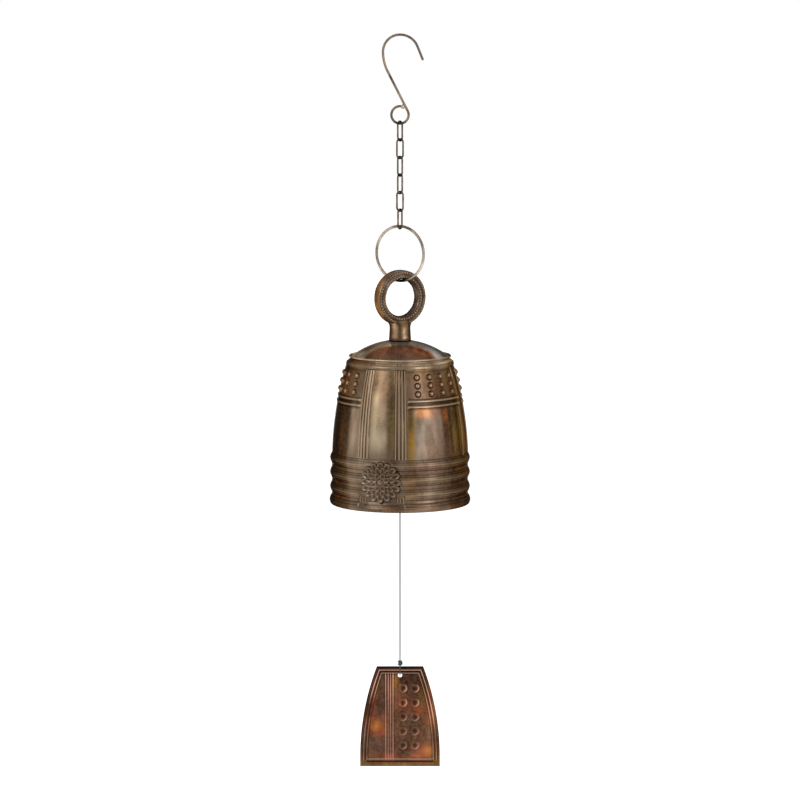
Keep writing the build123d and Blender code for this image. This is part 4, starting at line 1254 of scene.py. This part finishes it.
@dataclass
class Sail:
    """The embossed sheet, cut like a bell and pierced for its cord."""

    top_z: float
    height: float = 77.4
    half_width: float = 30.3
    skirt: float = 7.5
    side_radius: float = 198.0
    thickness: float = 1.2
    hole_radius: float = 1.7
    hole_drop: float = 6.9
    borders: tuple[float, ...] = (2.65, 5.05)
    ribs: tuple[float, ...] = (-10.9, -8.9, -7.2, -5.3)
    boss_x: tuple[float, ...] = (2.05, 11.15)
    boss_drops: tuple[float, ...] = (16.8, 27.8, 38.8, 49.8, 60.8)
    columns: int = 220
    rows: int = 180

    @property
    def hole_z(self) -> float:
        """Height of the hole's middle."""
        return self.top_z - self.hole_drop

    def half(self, drop: np.ndarray) -> np.ndarray:
        """Half the width at each drop below the top: an arc down to the skirt, then upright."""
        rise = np.maximum(self.height - self.skirt - drop, 0)
        return self.half_width - self.side_radius + np.sqrt(self.side_radius**2 - rise**2)

    def relief(self, x: np.ndarray, drop: np.ndarray) -> Relief:
        """Relief of the face: two border lines, four ribs and a ring about each boss, with painted highlights
        that vary along them.

        Args:
            x: Places across the sail.
            drop: Places below its top.

        Returns:
            The relief of each place.
        """
        lean = np.cos(np.arcsin(np.clip((self.height - self.skirt - drop) / self.side_radius, 0, 1)))
        side = (self.half(drop) - np.abs(x)) * lean
        edge = np.minimum(side, drop)
        relief = Relief(x.shape)
        above = smooth_step(self.height - 4.6, self.height - 5.2, drop)
        # Painted highlight along the border lines, uneven along them and stronger towards the top
        border_highlight = 0.5 + 0.3 * np.sin(drop / 5.3 + 1.3 * np.sign(x)) + 0.35 * np.sin(drop / 12 + 0.4 - np.sign(x))
        upper = smooth_step(50, 20, drop)
        border_highlight = border_highlight * np.where(x < 0, 0.45 + 0.6 * smooth_step(44, 16, drop), 0.75 + 0.35 * upper)
        for inset, shine in zip(self.borders, (1.0, 0.55)):
            relief.line(edge - inset, above, (0.38, 0.3, 0.4), (shine * border_highlight, 0.1, 0.35),
                        (0.8, 0.85, 0.12, 0.35))
        for rib, shine in zip(self.ribs, (0.75, 0.5, 0.6, 0.8)):
            # Painted highlight along each rib, uneven along it and strongest near the top
            painted_light = 0.42 + 0.15 * np.sin(drop / 9 + 2.1 * rib) + 0.55 * smooth_step(46, 10, drop)
            length = smooth_step(4.6, 5.0, drop) * above
            relief.line(x - rib, length, (0.38, 0.3, 0.4), (shine * painted_light, 0.1, 0.34),
                        (0.35 + 0.4 * upper, 0.9, 0.1, 0.3))
        for boss_x in self.boss_x:
            for boss_drop in self.boss_drops:
                across, down = x - boss_x, drop - boss_drop
                away, low = np.hypot(across, down), boss_drop > 35
                # A painted highlight arc on each boss ring's lit side, and painted dark reflection in its
                # middle and in a thin ring round it
                lit = 0.5 + 0.5 * np.cos(np.arctan2(down, across) - 0.35 - 0.5 * low)
                relief.rise += 0.42 * ridge(away - 2.85, 0.25, 0.75)
                relief.brighten((0.03 + 0.55 * lit**3) * (1 - 0.4 * low) * ridge(away - 2.9, 0.15, 0.6))
                relief.darken(0.7 * ridge(away, 0.5, 1.5) + 0.25 * ridge(away - 4.0, 0.15, 0.5))
        line = ridge(drop - (self.height - 5.9), 0.3, 0.4) * smooth_step(4.0, 4.6, side)
        foot = ridge(drop - (self.height - 4.0), 0.35, 0.4) * smooth_step(4.0, 5.5, side)
        relief.rise += 0.3 * line - 0.2 * foot
        relief.brighten(0.26 * line)
        relief.darken(0.9 * foot)
        # Painted dark reflection along the outline: the left edge and the top darkest, the right edge less,
        # fading out towards the bottom
        sides = smooth_step(-1.6, -0.6, -side) * np.where(x < 0, 1.0, 0.55)
        rim = np.maximum(smooth_step(1.7, 0.9, drop), sides)
        relief.darken(0.85 * rim * smooth_step(6.0, 24.0, self.height - drop))
        return relief

    def build(self) -> None:
        """Makes both faces on one grid x = u half(drop), whose points near the hole are drawn to its edge."""
        close, half = np.array([0, 0.25, 0.6]), self.thickness / 2
        drop = np.concatenate([close, np.linspace(1.0, self.height - 1.0, self.rows - 2 * len(close)),
                               self.height - close[::-1]])[:, None]
        x = np.linspace(-1, 1, self.columns) * self.half(drop)
        down = drop - self.hole_drop + 0 * x
        away = np.hypot(x, down)
        inside = away < self.hole_radius
        pull = np.where(away < self.hole_radius + 0.75,
                        np.maximum(away, self.hole_radius) / np.maximum(away, 1e-6), 1.0)
        x, drop = x * pull, down * pull + self.hole_drop
        holes = inside[:-1, :-1] & inside[1:, :-1] & inside[:-1, 1:] & inside[1:, 1:]
        relief, tone = self.relief(x, drop), painted(x, drop, (98, 62, 42), 2, SAIL_PATINA)
        edge = np.minimum(self.half(drop) - np.abs(x), np.minimum(drop, self.height - drop))
        rim = smooth_step(1.0, 0.0, edge)
        front = np.stack([x, -half - relief.rise + 0.45 * rim**2, self.top_z - drop], -1)
        back = np.stack([x, half - 0.8 * relief.rise - 0.1 * rim**2, self.top_z - drop], -1)
        skin = Skin("sail_sheet")
        skin.grid(front, Round.NEITHER, relief.crease, relief.wear_and_highlight, tone, inward=True, holes=holes)
        skin.grid(back, Round.NEITHER, 0.6 * relief.crease, 0.3 * relief.wear_and_highlight, tone * 0.9, holes=holes)
        walls = ((np.s_[:, 0], True), (np.s_[:, -1], False), (np.s_[0], False), (np.s_[-1], True))
        for wall, inward in walls:
            skin.grid(np.stack([front[wall], back[wall]]), Round.NEITHER, 0.7, tone=tone[wall], inward=inward)
        turns = full_turn(40)
        bore = np.stack([self.hole_radius * np.cos(turns), 0 * turns,
                         self.hole_z + self.hole_radius * np.sin(turns)], -1)
        deep = np.array([0, half, 0])
        skin.grid(np.stack([bore - deep, bore + deep]), Round.COLUMNS, 0.8, tone=tint(80, 52, 38),
                  inward=True)
        seat(skin.build(50), "sail", Finish.SAIL, "sheet_copper", "sail")


# Stage


@dataclass
class Studio:
    """The floor, the lights, the white surroundings and the camera, in metres."""

    floor_z: float = -0.95
    floor_half: float = 9.0
    aim: Triple = (0.0, 0.0, -0.29)
    distance: float = 2.349
    camera_z: float = 0.0242
    tilt: float = 7.17
    focal_pixels: float = 3157.0
    frame_pixels: float = 800.0
    sensor_width: float = 36.0

    def floor(self) -> None:
        """A pale floor far below, white to the camera and in reflections, that keeps the shadow."""
        skin = Skin("floor")
        reach = np.linspace(-self.floor_half, self.floor_half, 13) / MM
        x, y = np.meshgrid(reach, reach, indexing="ij")
        skin.grid(np.stack([x, y, 0 * x + self.floor_z / MM], -1), Round.NEITHER, inward=True)
        piece = skin.build()
        material = bpy.data.materials.new("pale_floor")
        nodes = Nodes(material)
        rays = nodes.add("ShaderNodeLightPath").outputs
        seen = nodes.sum("MAXIMUM", rays["Is Camera Ray"], rays["Is Glossy Ray"])
        nodes.fill(nodes.shader, {"Base Color": (0.86, 0.86, 0.86), "Roughness": 0.9,
                                  "Emission Color": (1.0, 1.0, 1.0),
                                  "Emission Strength": nodes.sum("MULTIPLY", seen, 0.75)})
        piece.data.materials.append(material)

    def surroundings(self) -> None:
        """White to the camera, nearly so in reflections, and a plain soft light on everything else."""
        world = bpy.data.worlds.new("studio")
        bpy.context.scene.world = world
        nodes = Nodes(world, "Background")
        rays = nodes.add("ShaderNodeLightPath").outputs
        seen = nodes.sum("MAXIMUM", rays["Is Glossy Ray"], rays["Is Transmission Ray"])
        soft = nodes.opened(seen, ("To Min", "To Max"), 0.5, 0.8)
        nodes.fill(nodes.shader, {"Color": (1.0, 1.0, 1.0),
                                  "Strength": nodes.sum("MAXIMUM", soft, rays["Is Camera Ray"])})

    def lamp(self, name: str, place: Triple, size: float, power: float) -> None:
        """A square soft lamp aimed at the bell."""
        data = bpy.data.lights.new(name, "AREA")
        data.size, data.energy = size, power
        x, y, z = way = np.array(self.aim) - np.array(place)
        piece = link(name, data)
        piece.location = place
        piece.rotation_euler = (math.acos(-z / np.linalg.norm(way)), 0.0, math.atan2(x, -y) + math.pi)

    def camera(self) -> None:
        """The photograph's view: level with the hook's crown, tilted down."""
        data = bpy.data.cameras.new("camera")
        data.sensor_width = self.sensor_width
        data.lens = self.focal_pixels * self.sensor_width / self.frame_pixels
        data.clip_start, data.clip_end = 0.05, 40.0
        piece = link("camera", data)
        piece.location = (0.0, -self.distance, self.camera_z)
        piece.rotation_euler = (math.radians(90 - self.tilt), 0.0, 0.0)
        bpy.context.scene.camera = piece

    def build(self) -> None:
        """Sets the stage."""
        self.floor()
        self.surroundings()
        self.lamp("key_lamp", (-1.3, -1.5, 0.7), 1.1, 15)
        self.lamp("fill_lamp", (1.4, -1.3, 0.1), 1.0, 10)
        self.lamp("back_lamp", (0.4, 1.5, 0.9), 1.2, 9)
        self.camera()
        bpy.context.scene.view_settings.view_transform = "Standard"


# Lengths down the line that no piece above owns
LOOP_LENGTH = 3.5
CLAPPER_CORD = 66.0
CLAPPER_HEIGHT = 6.0
SAIL_DROP = 126.0


def main() -> None:
    """Builds the wind bell from the hook down, and then its stage."""
    logging.basicConfig(level=logging.INFO, format="%(name)s: %(message)s")
    hook = Hook()
    hook.build()
    chain = Chain(hook.eye_z - hook.eye_radius, hook.wire)
    ring = WireRing("hanging_ring_wire", "ring", "hanging_ring", yaw=-31.0, bearing_z=chain.build(),
                    above=chain.wire, radius=20.4, wire=2.0, seam_angle=197.0, seam_gap=0.3)
    ring.build()
    eye = CrownEye(ring.foot_z + ring.wire / 2)
    eye.build()
    bell = Bell(eye.foot_z)
    bell.build()
    for node in ("crown_washer", "crown_nut"):
        Finish.FASTENER.put_on(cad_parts[node])
    Finish.CLAPPER.put_on(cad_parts["clapper"])

    small_ring = WireRing("clapper_ring_wire", "clapper_ring", "clapper_ring", yaw=-59.0,
                          bearing_z=eye.tang_hole_z - eye.tang_hole / 2, above=0.0, radius=4.8, wire=1.6,
                          seam_angle=0.0, seam_gap=0.4, play=HOLE_PLAY)
    small_ring.build()
    pivot = small_ring.foot_z
    upper = Knot("clapper_knot", "clapper", "clapper_cord_knot", pivot - LOOP_LENGTH)
    stop = Knot("clapper_stop", "clapper", "clapper_stop_knot", upper.foot_z - CLAPPER_CORD - CLAPPER_HEIGHT)
    loop = cord_loop("clapper_loop_cord", "clapper", "clapper_cord_loop", eye.yaw, pivot + PLAY, upper.top_z)
    clapper_run = CordRun("clapper_cord_run", "clapper", "clapper_cord", upper.foot_z, stop.top_z)
    clapper_run.build([loop, upper.build(), stop.build()])

    sail = Sail(bell.mouth_z - SAIL_DROP)
    tie = Knot("sail_tie_knot", "sail_tie", "sail_knot", sail.top_z + HOLE_PLAY + PLAY + Knot.height)
    tie_piece = tie.build()
    loop = cord_loop("sail_tie_loop", "sail_tie", "sail_cord_loop", yaw=90.0,
                     bend_z=sail.hole_z + sail.hole_radius + HOLE_PLAY, knot_z=tie.foot_z)
    sail_run = CordRun("sail_cord_run", "sail_cord", "sail_cord", stop.foot_z - PLAY, tie.top_z + PLAY)
    sail_run.build([tie_piece, loop])
    sail.build()
    Studio().build()


if __name__ == "__main__":
    main()
